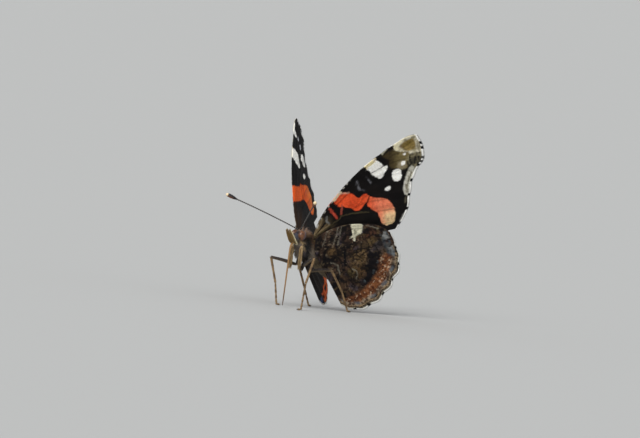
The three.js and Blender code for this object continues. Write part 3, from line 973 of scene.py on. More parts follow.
def wing_place(wing, span, chord):
    """The place on the wing's plane, from its three edges and its root."""
    s, c = np.asarray(span, float)[:, None], np.asarray(chord, float)[:, None]
    front, outer, hind = wing["front"], wing["outer"], wing["hind"]
    margin = along_line(outer, chord)
    direction = unit(along_line(np.gradient(outer, axis=0), chord))
    scallop = -wing["scallop"] * np.cos(2 * math.pi * wing["scallops"] * c) * np.sin(math.pi * c)
    margin = margin + np.stack([-direction[:, 1], direction[:, 0]], 1) * scallop
    return (
        (1 - c) * along_line(front, span) + c * along_line(hind, span)
        + (1 - s) * (front[0] * (1 - c) + hind[0] * c) + s * margin
        - (1 - s) * ((1 - c) * front[0] + c * hind[0]) - s * ((1 - c) * front[-1] + c * hind[-1])
    )


def distance_to(places, line):
    """How far places are from a line of straight steps."""
    nearest = np.full(len(places), 1e9)
    for start, end in zip(line[:-1], line[1:]):
        step = end - start
        share = np.clip(((places - start) @ step) / max(step @ step, 1e-12), 0, 1)
        nearest = np.minimum(nearest, np.linalg.norm(places - start - share[:, None] * step, axis=1))
    return nearest


def within(places, outline):
    """How far places are inside an outline, less than 0 outside it."""
    ring = np.concatenate([outline, outline[:1]])
    crossings = np.zeros(len(places), int)
    for (x0, y0), (x1, y1) in zip(ring[:-1], ring[1:]):
        spans = (y0 > places[:, 1]) != (y1 > places[:, 1])
        reach = x0 + (places[:, 1] - y0) * (x1 - x0) / (y1 - y0 if y1 != y0 else 1e-9)
        crossings += spans & (places[:, 0] < reach)
    return np.where(crossings % 2 == 1, 1, -1) * distance_to(places, ring)


def vein_distance(wing, places):
    return np.min([distance_to(places, smooth_line(vein)) for vein in wing["veins"]], axis=0)


def wing_surface(wing, side, span, chord, outside, veins=None):
    """Points on the wing's upper side (outside below 0) or underside (above 0), in the frame.
    outside is how far they stand off the middle of the plate."""
    places = wing_place(wing, span, chord)
    near = vein_distance(wing, places) if veins is None else veins
    height = wing["drop"] - wing["arch"] * 4 * chord * (1 - chord) * np.sin(math.pi * span)
    height += wing["droop"] * span**2 * np.sin(math.pi * chord)
    height -= pleat_rise * np.exp(-((near / pleat_width) ** 2))
    ridge = vein_rise * np.exp(-((near / vein_width) ** 2)) * (1 - 0.6 * span)
    height += np.sign(outside) * (np.abs(outside) + ridge)
    points = (
        np.array([wing_spacing / 2, 0, 0]) + places[:, :1] * wing_outwards
        + places[:, 1:] * wing_forwards + height[:, None] * wing_under
    )
    points[:, 0] *= side
    return from_body(points)


def stroke(places, path, width, blur=0.1):
    return 1 - ease(width / 2 - blur, width / 2 + blur, distance_to(places, smooth_line(path)))


def blot(places, outline, blur=0.1):
    return ease(-blur, blur, within(places, smooth_line(outline, closed=True)))


def spot(places, centre, radius, blur=0.1):
    return 1 - ease(radius - blur, radius + blur, np.linalg.norm(places - np.array(centre), axis=1))


black = srgb(8, 7, 8)
white = srgb(255, 253, 246)
orange_red = srgb(240, 92, 48)
peach = srgb(252, 220, 168)


def ragged(places, seed):
    """Places shifted a little here and there, so that marks have the broken edge of scales."""
    shift = np.stack([cloud(places, 0.45, seed), cloud(places, 0.45, seed + 1)], 1) - 0.5
    return places + shift * 0.3


def forewing_underside(places, margin, chord):
    at = ragged(places, 31)
    u, v = at.T
    base = 1 - ease(1.5, 6.5, np.hypot(u, v))
    streaks = cloud(np.stack([np.arctan2(v, u) * 9, np.hypot(u, v) * 0.35], 1), 1.0, 34)
    fine, grain = cloud(at, 0.7, 36), cloud(places * (1, 0.6), 0.32, 39)
    tip_brown = [
        (16.6, 15.4), (19.6, 16.2), (21.3, 15.6), (22.6, 15.1), (23.1, 14.2), (22.6, 12.9),
        (21.9, 11.4), (20.2, 11.4), (19, 11.9), (18.2, 12.3), (17.9, 14),
    ]
    olive = layered(mixed((70, 58, 34), (146, 130, 84), ease(18, 21.5, u) * (0.4 + 0.6 * fine)), [
        ((44, 36, 26), ease(0.5, 0.8, grain) * 0.75),
    ])
    tip_pale = [
        (19.4, 16), (19.7, 17.8), (21.9, 18.8), (25.6, 19), (27.5, 16.8), (27.5, 13.3), (24.8, 13.6),
        (23.2, 13.9), (22.4, 14.9), (20.6, 15.4),
    ]
    pale = layered(mixed((164, 154, 124), (228, 220, 196), ease(0.25, 0.7, fine)), [
        ((96, 84, 60), ease(0.6, 0.8, grain) * 0.6),
    ])
    tip_cream = [
        (19.4, 16.1), (19.7, 17.9), (22.2, 18.9), (21.5, 17.9), (20.7, 17.0), (21.1, 16.1),
        (20.6, 15.5),
    ]
    tip_ochre = [
        (21, 16.8), (22, 17.6), (23.6, 17.9), (24.1, 17), (24, 15.5), (22.8, 15.1), (21.5, 15.5),
        (21, 16.1),
    ]
    ochre = layered(mixed((112, 92, 36), (168, 144, 88), cloud(at, 1.2, 37)), [
        ((86, 70, 34), ease(0.55, 0.85, grain) * 0.6),
    ])
    under_tip = [(22.3, 14.1), (27, 13.9), (27, 10.4), (24.4, 10.2), (22.7, 10.9)]
    dark_patch = [
        (22.7, 13.2), (24.4, 13.5), (25.4, 13.1), (25.3, 12.2), (24.6, 11.6), (23.8, 11.9), (23, 11.4),
    ]
    strip = mixed((214, 210, 194), (122, 114, 88), ease(0.5, 0.8, grain) * 0.8)
    inner_edge = [(22.2, 10.3), (21.4, 8.7), (20.95, 7.2), (21.1, 5.7)]
    cream_edge = srgb(236, 230, 208)
    bar = [
        (12.8, 13.4), (14.2, 14.5), (15.1, 14.6), (16.2, 13.7), (16.8, 13.1), (17.6, 12.8),
        (17.4, 11.8), (16.8, 11.2), (16.5, 10.5), (15.8, 10.1), (15.1, 10.7), (14, 11.5), (13.4, 12.5),
    ]
    bar_end = [
        (12.4, 13.7), (12.5, 14.4), (14.6, 15.8), (15.1, 15), (15, 14.45), (14.3, 13.95), (13.4, 13.4),
        (13, 13.1),
    ]
    big_spot = [
        (18.5, 10.9), (19.2, 11.5), (20.3, 11.4), (20.6, 10.6), (20.5, 9.4), (19.8, 8.8), (19.2, 8.9),
        (18.6, 9.6),
    ]
    small_spot = [(16.75, 7.55), (17.2, 8), (17.8, 8.05), (18.15, 7.6), (17.8, 7.1), (17.2, 6.95)]
    band = [
        (5.1, 7.2), (6.2, 8.5), (7.3, 8.8), (8.6, 8.5), (10.2, 7.3), (11, 6.8), (12.2, 7.4), (12.9, 7),
        (13.9, 6.2), (15.8, 5.7), (17.1, 5.1), (18, 4), (18.6, 2.6), (18.7, 0.9), (18.4, -0.3),
        (17.5, -0.9), (16.5, -0.8), (15.6, -0.1), (15.3, 0.9), (14.9, 2.2), (14.6, 2.7), (13.4, 3.6),
        (12.8, 4.4), (12.75, 5.5), (12.4, 5.3), (11.3, 4.2), (10.4, 3.9), (9.6, 4.2), (9, 4.8),
        (7.9, 5.2), (7.2, 5.7), (6.4, 5.8), (5.8, 6.3),
    ]
    red = layered(blended(orange_red, srgb(248, 142, 104), ease(12, 16, u)), [
        (peach, (1 - ease(0.8, 3.6, v)) * ease(15, 17, u)),
    ])
    red = blended(red, red * [0.78, 0.6, 0.6], ease(0.45, 0.8, cloud(places * (1, 0.7), 0.35, 40)) * 0.7)
    band_top = [(4.9, 8), (6.3, 9.6), (7.0, 9.1), (6.2, 8.3), (5.4, 7.3)]
    checks = stroke(places, wing_front_path(forewing, 0.04, 0.42), 0.5) * (np.sin(u * 7.0) > 0.35)
    return layered(blended(black, srgb(25, 20, 18), cloud(at, 1.6, 33)), [
        ((128, 108, 78), base * ease(0.4, 0.75, streaks)),
        *[
            ((176, 152, 112), stroke(at, path, 0.3, 0.15) * (0.3 + 0.5 * streaks))
            for path in (
                [(0.4, 0.6), (1.2, 2.1), (2.3, 4)], [(0.6, 0.4), (2, 1.4), (4, 2.2)],
                [(0.2, 0.9), (0.9, 2.6), (1.5, 3.6)],
            )
        ],
        # the tip, brown to cream
        (olive, blot(at, tip_brown, 0.35)),
        (pale, blot(at, tip_pale, 0.15)),
        ((240, 230, 194), blot(at, tip_cream, 0.15) * (0.6 + 0.4 * fine)),
        (ochre, blot(at, tip_ochre, 0.3)),
        (
            (236, 228, 200),
            stroke(at, [(20, 17.9), (22, 18.6), (24, 18.7), (25.4, 18.3)], 0.9, 0.2)
            * (0.5 + 0.5 * fine),
        ),
        ((240, 236, 222), stroke(at, [(25.3, 18), (26, 16.4), (26.1, 13.8)], 0.6, 0.2) * fine),
        ((96, 62, 44), spot(at, (20.8, 16.5), 0.3, 0.2) * 0.7),
        # below the tip, to the two white dots
        (mixed((150, 140, 108), (52, 46, 34), ease(0.4, 0.7, grain)), blot(at, under_tip, 0.3) * 0.9),
        ((38, 36, 32), blot(at, dark_patch, 0.35) * (0.5 + 0.5 * fine)),
        ((112, 104, 70), stroke(at, [(25.6, 12.9), (25.4, 11.9), (24.6, 11.1)], 0.6, 0.3) * grain),
        ((168, 156, 128), spot(at, (20.9, 12.2), 1.0, 0.4) * (0.45 + 0.5 * fine)),
        ((30, 28, 24), stroke(at, [(22.2, 12.6), (22.5, 11.8), (22.3, 11.1)], 0.4, 0.2) * 0.8),
        (white, spot(at, (21.6, 14.6), 0.34)),
        (white, spot(at, (21.15, 12.55), 0.5)),
        # the pale strip along the outer margin
        (strip, stroke(at, [(22.9, 11), (22, 9), (21.7, 7.6), (21.6, 5.8)], 1.35, 0.2)),
        ((92, 84, 58), stroke(at, [(22.8, 10.3), (22, 8.5), (21.7, 7.3), (21.6, 5.9)], 0.3) * 0.7),
        ((232, 227, 216), stroke(at, inner_edge, 0.3, 0.12) * (0.5 + 0.5 * fine)),
        (cream_edge, stroke(at, [(23.9, 10.7), (22.9, 9.3), (22.7, 7.8), (22.5, 5.6)], 0.5)),
        *[
            (black, spot(at, notch, 0.36, 0.15) * 0.95)
            for notch in [(22.8, 8.6), (23.2, 8.5), (22.1, 5.3)]
        ],
        (cream_edge, stroke(at, [(22.4, 4.8), (22.1, 3.8), (22, 2.7)], 0.65)),
        ((116, 108, 88), stroke(at, [(21.3, 4.6), (21.1, 3.6)], 0.4, 0.2) * 0.6),
        ((150, 146, 140), stroke(at, [(21.2, 1.4), (20.4, 0.6), (19.9, -0.6)], 0.5, 0.2)),
        ((140, 130, 134), spot(at, (19.4, -1.6), 0.45, 0.2)),
        # grey lines in the cell
        (
            (118, 118, 122),
            stroke(at, [(10.5, 10.6), (10.8, 9.4), (11.2, 8.7)], 0.65, 0.25)
            * (0.1 + 0.9 * ease(0.3, 0.7, grain)),
        ),
        ((98, 98, 104), stroke(at, [(11.2, 8.7), (12.1, 8.2)], 0.35, 0.2) * (0.2 + 0.8 * grain)),
        (
            (104, 104, 108),
            stroke(at, [(12.7, 11.2), (13.3, 10.3), (13.7, 9.6)], 0.35, 0.2)
            * (0.1 + 0.9 * ease(0.3, 0.7, grain)),
        ),
        # the white bar and spots
        ((176, 172, 150), stroke(at, [(16.6, 15.9), (17.4, 16.7)], 0.7)),
        (white, blot(at, bar, 0.08)),
        ((158, 154, 148), stroke(at, [(13.9, 11.8), (15.3, 12.35), (16.9, 12.95)], 0.16, 0.08)),
        (black, spot(at, (17.05, 13.0), 0.22, 0.15)),
        (black, spot(at, (13.65, 11.75), 0.2, 0.15)),
        (mixed((240, 224, 170), (240, 226, 208), ease(0.4, 0.8, fine)), blot(at, bar_end, 0.15)),
        (white, blot(at, big_spot, 0.08)),
        (white, blot(at, small_spot, 0.08)),
        # the red band and the base
        (red, blot(at, band, 0.1)),
        (black, stroke(at, [(12.7, 5.2), (13.1, 6.2), (13.6, 7.2)], 0.28) * 0.8),
        ((176, 84, 66), stroke(at, [(6.9, 6), (6.8, 5), (6.7, 4)], 0.5) * 0.8),
        ((236, 214, 178), blot(at, band_top, 0.1)),
        ((232, 172, 146), stroke(at, [(6.8, 8.7), (8.5, 8.6)], 0.4) * 0.8),
        ((190, 74, 54), stroke(at, [(4, 5.9), (5, 4.4), (5.6, 3.3)], 0.55)),
        ((128, 126, 120), stroke(at, [(3.3, 4.1), (3.2, 3.2), (3.7, 2.5)], 0.5) * 0.8),
        ((92, 82, 58), stroke(at, [(0.3, 0.3), (5.5, 2.6), (7, 3.5), (10, 3.4), (13, 3)], 0.24) * 0.8),
        ((196, 192, 182), checks * 0.8),
    ])


def forewing_upperside(places, margin, chord):
    at = ragged(places, 41)
    u, v = at.T
    tip_streak = [
        (21.9, 18.7), (20.4, 18.6), (18.9, 17.9), (18.4, 17), (18.7, 16.3), (19.7, 15.6), (20.2, 16.4),
        (20.5, 17.4), (21.7, 17.9),
    ]
    bar = [
        (12.3, 13.9), (13.2, 15.1), (14.4, 15), (15.4, 14.4), (16.3, 13.1), (16.2, 11.6), (14.9, 10.2),
        (13.9, 10.8), (12.9, 12.4),
    ]
    big_spot = [(19.5, 11.7), (21, 10.9), (21.5, 9.1), (20.5, 8.6), (18.8, 9.4), (17.9, 11)]
    small_spot = [(17.2, 8.2), (17.7, 7.6), (17, 7.2), (15.9, 7.4), (15.6, 8)]
    band = [
        (2.8, 8), (4, 9.3), (5.2, 9.7), (7, 8.9), (9.7, 7.8), (10.7, 7.5), (11.4, 7.9), (12.2, 7.2),
        (14.4, 6.5), (16, 5.9), (17.1, 5.2), (18.2, 3.6), (17.9, 1.7), (17.7, 0.2), (16.4, -0.4),
        (15.2, -0.5), (14.3, -0.1), (13.6, 1), (12, 3.1), (10.7, 4.4), (9.4, 4.9), (8.3, 5),
        (6.9, 5.4), (5.4, 5.9), (4.3, 6.3), (3.3, 6.8),
    ]
    red = layered(mixed((242, 104, 40), (246, 138, 66), ease(12, 18, u)), [
        ((220, 80, 30), cloud(at, 0.8, 48) * 0.4),
    ])
    dashes = (1 - ease(0.5, 0.75, margin)) * between_veins(forewing, chord, 0.55) * ease(1, 4, v)
    return layered(blended(black, srgb(28, 23, 22), cloud(at, 1.6, 43)), [
        ((62, 45, 33), (1 - ease(3, 10, u + 0.4 * np.abs(v))) * 0.9),
        (white, blot(at, tip_streak, 0.1)),
        (white, blot(at, bar, 0.08)),
        (white, blot(at, big_spot, 0.08)),
        (white, blot(at, small_spot, 0.08)),
        ((216, 216, 222), spot(at, (20.5, 14.9), 0.5)),
        ((216, 216, 222), spot(at, (20.2, 13.1), 0.6)),
        (red, blot(at, band, 0.12)),
        (black, stroke(at, [(9.3, 4.6), (10.4, 5.9), (11.3, 7.5)], 0.3, 0.15) * 0.6),
        ((214, 214, 216), dashes * 0.85),
    ])


def between_veins(wing, chord, share):
    """1 in the middle part of the margin between two veins, 0 at the veins."""
    ends = wing["vein_ends"]
    place = np.interp(chord, np.concatenate([[0], ends, [1]]), np.arange(len(ends) + 2)) % 1
    return 1 - ease(share / 2 - 0.06, share / 2 + 0.06, np.abs(place - 0.5))


def wing_front_path(wing, start, end):
    return along_line(wing["front"], np.linspace(start, end, 12))


# The hindwing hangs below the plane that its marks were read off in, so they are set this much back.
hindwing_shift = [0.29, -0.4]


def hindwing_underside(places, margin, chord):
    at = ragged(places, 51) + hindwing_shift
    drift = (np.stack([cloud(places, 2.2, 52), cloud(places, 2.2, 53)], 1) - 0.5) * 3
    u, v = at.T
    coarse, fine = cloud(at + drift, 1.3, 54), cloud(at - drift, 0.5, 55)
    grain = cloud(places, 0.26, 58)
    winding = 1 - np.abs(2 * cloud(at + drift * 0.7, 0.85, 59) - 1)
    crossing = 1 - np.abs(2 * cloud(at - drift * 0.6, 1.1, 60) - 1)
    streaks = cloud(np.stack([u - v, (u + v) * 0.3], 1), 0.5, 56)
    root = 1 - ease(4, 9, np.hypot(u, v))
    patches = [
        ((3.9, -4.0), 0.95, (138, 108, 70)), ((5.8, -4.9), 0.8, (112, 92, 66)),
        ((7.6, -7.2), 1.3, (98, 78, 64)), ((12.9, -2.1), 1.3, (92, 58, 42)),
        ((11.2, -4.6), 1.5, (86, 72, 50)), ((13, -3.6), 0.8, (116, 96, 58)),
        ((10.0, -10.3), 1.5, (112, 84, 50)), ((15.6, -6.6), 0.9, (112, 88, 64)),
        ((9.9, -6.9), 2.1, (118, 94, 60)), ((5.2, -8.4), 1.2, (94, 74, 60)),
        ((3.2, -9.5), 1.0, (74, 70, 80)), ((6.4, -12.2), 1.2, (92, 70, 54)),
        ((6.9, -1.4), 1.0, (98, 72, 56)), ((14.6, -5.2), 1.2, (88, 80, 80)),
        ((8.4, -9.6), 1.0, (104, 88, 52)),
    ]
    ring = np.abs(np.linalg.norm((at - (10.1, -6.9)) * (1, 1.1), axis=1) - 1.25)
    pale_lines = [
        [(5.7, 2.2), (5.3, 0.3), (4.9, -0.9), (4.3, -2.3)], [(6.4, 1.8), (5.6, -1.8), (5.3, -2.6)],
        [(3.0, 1.0), (2.4, -0.8), (1.9, -2.0)], [(11.9, 0.4), (13.2, -0.3), (14.6, -1.0)],
        [(8.4, -9.0), (9.4, -10.2), (9.0, -11.6)], [(3.6, -6.4), (5.0, -7.4), (5.4, -9.6)],
    ]
    patch = [
        (8.3, 2.1), (9.6, 1.9), (11, 0.8), (11, -0.6), (10.4, -1.4), (9.5, -1.7), (9.3, -2.7),
        (8.9, -2.7), (8.9, -2), (7.9, -1.8), (8.7, -1.3), (8.7, 0),
    ]
    dusted = stroke(at, [(15.9, -2.6), (16.4, -4), (17, -5.4), (17.4, -6.8)], 1.3, 0.5)
    band = [(15.9, -8.8), (15.3, -11.2), (13.8, -13.3), (11.8, -15.1), (9.4, -16.3), (7.2, -16.7)]
    in_band = stroke(at, band, 2.7, 0.5)
    red_brown = mixed((96, 54, 34), (168, 106, 66), ease(0.2, 0.75, fine))
    outer_band = ease(0.5, 0.8, margin) * (1 - ease(1.7, 2.3, margin)) * ease(0.12, 0.3, chord)
    speckled = layered(mixed((112, 92, 78), (206, 186, 158), ease(0.4, 0.75, grain)), [
        ((38, 32, 34), ease(0.5, 0.7, cloud(at, 0.45, 61)) * 0.85),
    ])
    bluish = ease(1.2, 1.5, margin) * (1 - ease(1.9, 2.4, margin)) * between_veins(hindwing, chord, 0.35)
    on_side = ease(0.1, 0.2, chord)
    return layered(mixed((26, 21, 22), (84, 62, 48), ease(0.3, 0.75, coarse)), [
        ((108, 90, 60), ease(0.55, 0.8, fine) * 0.65),
        ((96, 86, 96), ease(0.62, 0.85, cloud(at + drift, 0.9, 57)) * 0.65),
        ((132, 118, 102), root * ease(0.55, 0.85, fine) * 0.7),
        *[
            (colour, spot(at, centre, radius, 0.6) * (0.3 + 0.7 * fine))
            for centre, radius, colour in patches
        ],
        *[
            ((17, 15, 20), spot(at, centre, radius, 0.7) * 0.85)
            for centre, radius in [
                ((13.4, -7.9), 1.7), ((11.2, -13.2), 1.5), ((7.5, -3.3), 0.9), ((12.6, -10.6), 1.2),
            ]
        ],
        ((14, 14, 20), stroke(at, [(6.9, -4.4), (6.8, -6), (6.9, -7.7)], 0.7, 0.2)),
        ((156, 126, 92), (1 - ease(0.1, 0.4, ring)) * (0.2 + 0.7 * fine)),
        ((18, 15, 17), ease(0.8, 0.93, winding) * 0.85),
        ((20, 17, 20), ease(0.84, 0.95, crossing) * 0.7),
        ((150, 132, 108), ease(0.72, 0.9, grain) * ease(0.35, 0.7, coarse) * 0.6),
        ((18, 16, 18), (1 - ease(0.12, 0.32, grain)) * 0.6),
        *[((158, 150, 132), stroke(at, path, 0.28) * (0.2 + 0.7 * fine)) for path in pale_lines],
        # the cream patch of the front edge
        ((238, 232, 204), blot(at, patch, 0.08)),
        ((120, 118, 88), stroke(at, [(9.3, -0.2), (9.5, -0.7), (9.3, -1)], 0.4, 0.2) * 0.8),
        ((140, 136, 104), stroke(at, [(9.6, -0.5), (10.2, -0.2)], 0.2) * 0.7),
        ((168, 170, 168), dusted * ease(0.35, 0.6, fine) * 0.85),
        ((60, 72, 80), stroke(at, [(15.6, -3.6), (16, -5.4), (16.9, -8)], 0.6, 0.3) * 0.6),
        *[
            ((112, 126, 130), spot(at, centre, radius, 0.15) * (0.2 + 0.5 * fine))
            for centre, radius in [
                ((14.1, -8.8), 0.32), ((12.9, -11.1), 0.22), ((10.9, -12.5), 0.3),
                ((13.1, -10.5), 0.2),
            ]
        ],
        # the red-brown band and the speckled margin
        (red_brown, in_band * 0.95),
        ((222, 194, 162), in_band * ease(0.55, 0.75, grain) * ease(0.4, 0.6, streaks) * 0.9),
        ((40, 28, 26), in_band * (1 - ease(0.2, 0.38, grain)) * 0.8),
        (speckled, outer_band * 0.75),
        ((112, 126, 136), bluish * (0.3 + 0.5 * fine)),
        *[
            (
                colour,
                (1 - ease(width - 0.1, width + 0.1, np.abs(margin - inset)))
                * on_side * ease(0.25, 0.6, fine) * 0.9,
            )
            for inset, width, colour in [(0.22, 0.2, (224, 212, 180)), (0.95, 0.2, (176, 148, 110))]
        ],
        ((34, 26, 24), (1 - ease(0.05, 0.2, np.abs(margin - 0.55))) * on_side * 0.8),
        *[((24, 18, 18), spot(places, centre, 0.6, 0.25) * 0.85) for centre in hindwing["fringe_dark"]],
    ])


def hindwing_upperside(places, margin, chord):
    at = ragged(places, 61)
    u, v = at.T
    along_margin = ease(0.16, 0.24, chord) * (1 - ease(0.8, 0.86, chord))
    in_band = along_margin * ease(0.3, 0.45, margin) * (1 - ease(2.9, 3.2, margin))
    red = mixed((222, 84, 34), (236, 118, 54), cloud(at, 0.8, 65))
    dots = ease(1.3, 1.5, margin) * (1 - ease(2.3, 2.5, margin)) * between_veins(hindwing, chord, 0.45)
    return layered(mixed((24, 19, 18), (46, 34, 27), cloud(at, 1.4, 63)), [
        ((84, 62, 44), (1 - ease(2, 11, np.hypot(u, v))) * 0.8),
        (red, in_band),
        (black, dots * along_margin),
        ((70, 92, 140), spot(at, (6.4, -16.6), 0.8, 0.2)),
        (black, spot(at, (7.4, -16.0), 0.4, 0.15)),
    ])


def make_wing(front, outer, hind, veins, **rest):
    wing = {"front": edge_line(*front), "outer": edge_line(*outer), "hind": edge_line(*hind)}
    wing.update(rest, veins=veins)
    gaps = [np.linalg.norm(wing["outer"] - vein[-1], axis=1) for vein in veins]
    ends = [np.argmin(gap) / edge_steps for gap in gaps if np.min(gap) < 0.9]
    wing["vein_ends"] = np.array(sorted(end for end in ends if 0.03 < end < 0.97))
    outline = np.concatenate([wing["front"], wing["outer"], wing["hind"]])
    wing["low"], wing["high"] = outline.min(0) - 1, outline.max(0) + 1
    return wing


forewing = make_wing(
    front=[
        (0.3, 1.1), (2.2, 4.7), (5.3, 8.2), (9.2, 11.6), (13.1, 14.2), (17.2, 16.3), (20, 17.6),
        (22, 18.4), (23.9, 18.6), (25.4, 18.2),
    ],
    outer=[
        (25.4, 18.2), (26.5, 15.3), (26.3, 12.5), (24.3, 10.1), (23.2, 7.2), (22.6, 4.2), (22.1, 2),
        (21, 0), (19.3, -2.2),
    ],
    hind=[(0, -0.6), (4.5, -1.6), (10, -1.9), (15, -2.1), (19.3, -2.2)],
    veins=[
        [(0.3, 0.7), (2.9, 4.6), (6.6, 8.2), (10.4, 11.6), (13.4, 14.3)],
        [(0.3, 0.5), (3.6, 4.5), (7.6, 7.9), (10.9, 9.9), (14.6, 12.2), (19.4, 15.2), (24.6, 17.7)],
        [(7.6, 7.9), (11.4, 11.3), (15.4, 15.4)],
        [(10.4, 9.6), (14.2, 12.9), (18.6, 16.9)],
        [(19.4, 15.2), (22.8, 15.8), (26.3, 15.8)],
        [(11.2, 9.8), (14, 11.6), (17.2, 13.0), (21.6, 13.5), (26, 13.3)],
        [(11.7, 8.8), (16.4, 10.2), (20.6, 10.7), (24.4, 10.6)],
        [(11.6, 6.3), (13.2, 7), (17.4, 7.4), (23.3, 7.9)],
        [(9.6, 4.7), (12.6, 5.4), (17.2, 5.2), (22.6, 5.1)],
        [(0.3, 0.3), (3, 1.4), (5.5, 2.6), (7, 3.5), (9.6, 4.7), (11.6, 6.3), (11.7, 8.8), (10.9, 9.9)],
        [(7, 3.5), (10, 3.4), (14.7, 2.8), (18.5, 2.6), (21.9, 2.3)],
        [(0.2, 0), (6, 0.1), (12, -0.2), (20.4, -0.6)],
    ],
    fringe_dark=[
        (26.2, 16.3), (26.4, 15.1), (26.3, 12.9), (25.9, 12.2), (25.4, 11.4), (23.4, 8.4), (22.6, 5.2),
        (22.1, 2), (20.2, -1.1),
    ],
    fringe_gap=0.36, scallops=6, scallop=0.1, arch=0.5, droop=0.45, drop=0.0,
)
hindwing = make_wing(
    front=[(0.3, 0.3), (2.1, 1.2), (5.1, 1.8), (8.6, 1.7), (14.2, 0.1), (17.6, -2.8)],
    outer=[
        (17.6, -2.8), (18.9, -7.3), (19.1, -10.9), (17.5, -14), (15.1, -16.8), (11.8, -18.6),
        (8.2, -18.6), (5.2, -16.7),
    ],
    hind=[(-0.2, -2.6), (1.3, -6.5), (3.2, -11.5), (5.2, -16.7)],
    veins=[
        [(0.3, -0.2), (3, 0.6), (7, 0.9), (12, -0.1), (17, -2.9)],
        [(0.3, -0.6), (3.4, -0.8), (8, -1.3), (13, -2.6), (18.3, -5)],
        [(3.4, -0.8), (6.6, -3), (11.6, -4.8), (18.7, -7)],
        [(6.6, -3), (7.4, -4.6), (12, -7.4), (18.9, -10.8)],
        [(7.4, -4.6), (7.3, -5.9), (12, -10.2), (17.3, -13.9)],
        [(0.1, -1.4), (3, -4), (6, -6.4), (7.3, -5.9)],
        [(6, -6.4), (10, -11.6), (14.9, -16.6)],
        [(3, -4), (7, -11.4), (11.4, -18.3)],
        [(0, -2), (3.6, -9.6), (8, -18.4)],
    ],
    fringe_dark=[(18.3, -6.5), (18.7, -10.4), (17, -13.7), (14.8, -16.4), (11.6, -18.2), (8.4, -18.2)],
    fringe_gap=0.5, scallops=7, scallop=0.28, arch=0.25, droop=0.2, drop=0.75,
)
wings = {
    "forewing": (forewing, forewing_underside, forewing_upperside, (130, 112)),
    "hindwing": (hindwing, hindwing_underside, hindwing_upperside, (96, 132)),
}
vein_brown = srgb(44, 34, 27)
painted_vein_width = 0.12


def wing_tint(wing, paint, places, span, chord):
    """The pattern, with each vein a little darker than what it crosses."""
    margin = np.linalg.norm(wing_place(wing, np.full(len(span), membrane_end), chord) - places, axis=1)
    tint = paint(places, margin, chord)
    veins = np.exp(-((vein_distance(wing, places) / painted_vein_width) ** 2))
    pale = ease(0.5, 0.8, tint[:, 2])
    return blended(tint, tint * 0.5 + vein_brown * 0.1, veins * (0.7 - 0.58 * pale))


wing_map_width = 0.46


def wing_map(wing, places, under):
    """The wing's own plane as its unwrap, with the two sides next to each other."""
    part = (places - wing["low"]) / (wing["high"] - wing["low"])
    across = part[:, 0] * wing_map_width + (0.5 if under else 0)
    return np.stack([across + bake_edge, part[:, 1] * bake_extent + bake_edge], 1)


membrane_shade = 0.85


def membrane(name, wing, side, under_paint, upper_paint, spans, chords):
    span, chord = np.meshgrid(np.linspace(0, membrane_end, spans + 1), np.linspace(0, 1, chords + 1))
    span, chord = span.ravel(), chord.ravel()
    places = wing_place(wing, span, chord)
    veins = vein_distance(wing, places)
    half = np.full(len(span), membrane_half)
    under = wing_surface(wing, side, span, chord, half, veins)
    upper = wing_surface(wing, side, span, chord, -half, veins)
    count, row = len(span), spans + 1
    faces = []
    for j, i in product(range(chords), range(spans)):
        a = j * row + i
        faces.append([a, a + 1, a + row + 1, a + row])
        faces.append([count + a + row, count + a + row + 1, count + a + 1, count + a])
    rim = list(range(row))
    rim += [j * row + spans for j in range(1, chords + 1)]
    rim += [chords * row + i for i in range(spans - 1, -1, -1)]
    rim += [j * row for j in range(chords - 1, 0, -1)]
    for a, b in zip(rim, rim[1:] + rim[:1]):
        faces.append([b, a, count + a, count + b])
    piece = new_piece(name, np.concatenate([under, upper]), faces)
    tint = np.concatenate([
        wing_tint(wing, paint, places, span, chord) for paint in (under_paint, upper_paint)
    ])
    store(piece.data, "tint", tint * membrane_shade, "FLOAT_COLOR")
    close_and_turn_out(piece.data)
    return piece


def wing_frame(wing, side, span, chord, under):
    """Points on one side of the wing, with the ways outwards to the margin and off the wing."""
    sign = 1.0 if under else -1.0
    off = np.full(len(span), sign * membrane_half)
    near = vein_distance(wing, wing_place(wing, span, chord))
    here = wing_surface(wing, side, span, chord, off, near)
    outwards = unit(wing_surface(wing, side, span + 0.01, chord, off, near) - here)
    across = unit(wing_surface(wing, side, span, chord + 0.004, off, near) - here)
    facing = unit(np.cross(outwards, across))
    straight = wing_under * (side, 1, 1)
    facing *= np.sign(np.sum(facing * turn_from_body(straight[None]), 1))[:, None] * sign
    return here, outwards, facing


def scale_roots(wing, row_pitch, pitch, seed, samples=60):
    """Rows of scales across the wing, each row set half a scale off the last."""
    chance = np.random.default_rng(seed)
    length = np.linalg.norm(wing["front"][-1] - wing["front"][0])
    rows = int(length / row_pitch)
    even = np.linspace(0, 1, samples)
    spans, chords = [], []
    for row in range(rows):
        share = (row + 0.5) / rows * membrane_end
        line = wing_place(wing, np.full(samples, share), even)
        reach = reach_along(line)
        count = max(int(reach[-1] / pitch), 4)
        at = (np.arange(count) + 0.25 + 0.5 * (row % 2)) / count * reach[-1]
        along = np.interp(at, reach, even) + chance.normal(0, 0.12 / count, count)
        out = share + chance.normal(0, 0.1 / rows, count)
        chords.append(np.clip(along, 0.001, 0.996))
        spans.append(np.clip(out, 0.004, membrane_end - 0.004))
    return np.concatenate(spans), np.concatenate(chords), rows


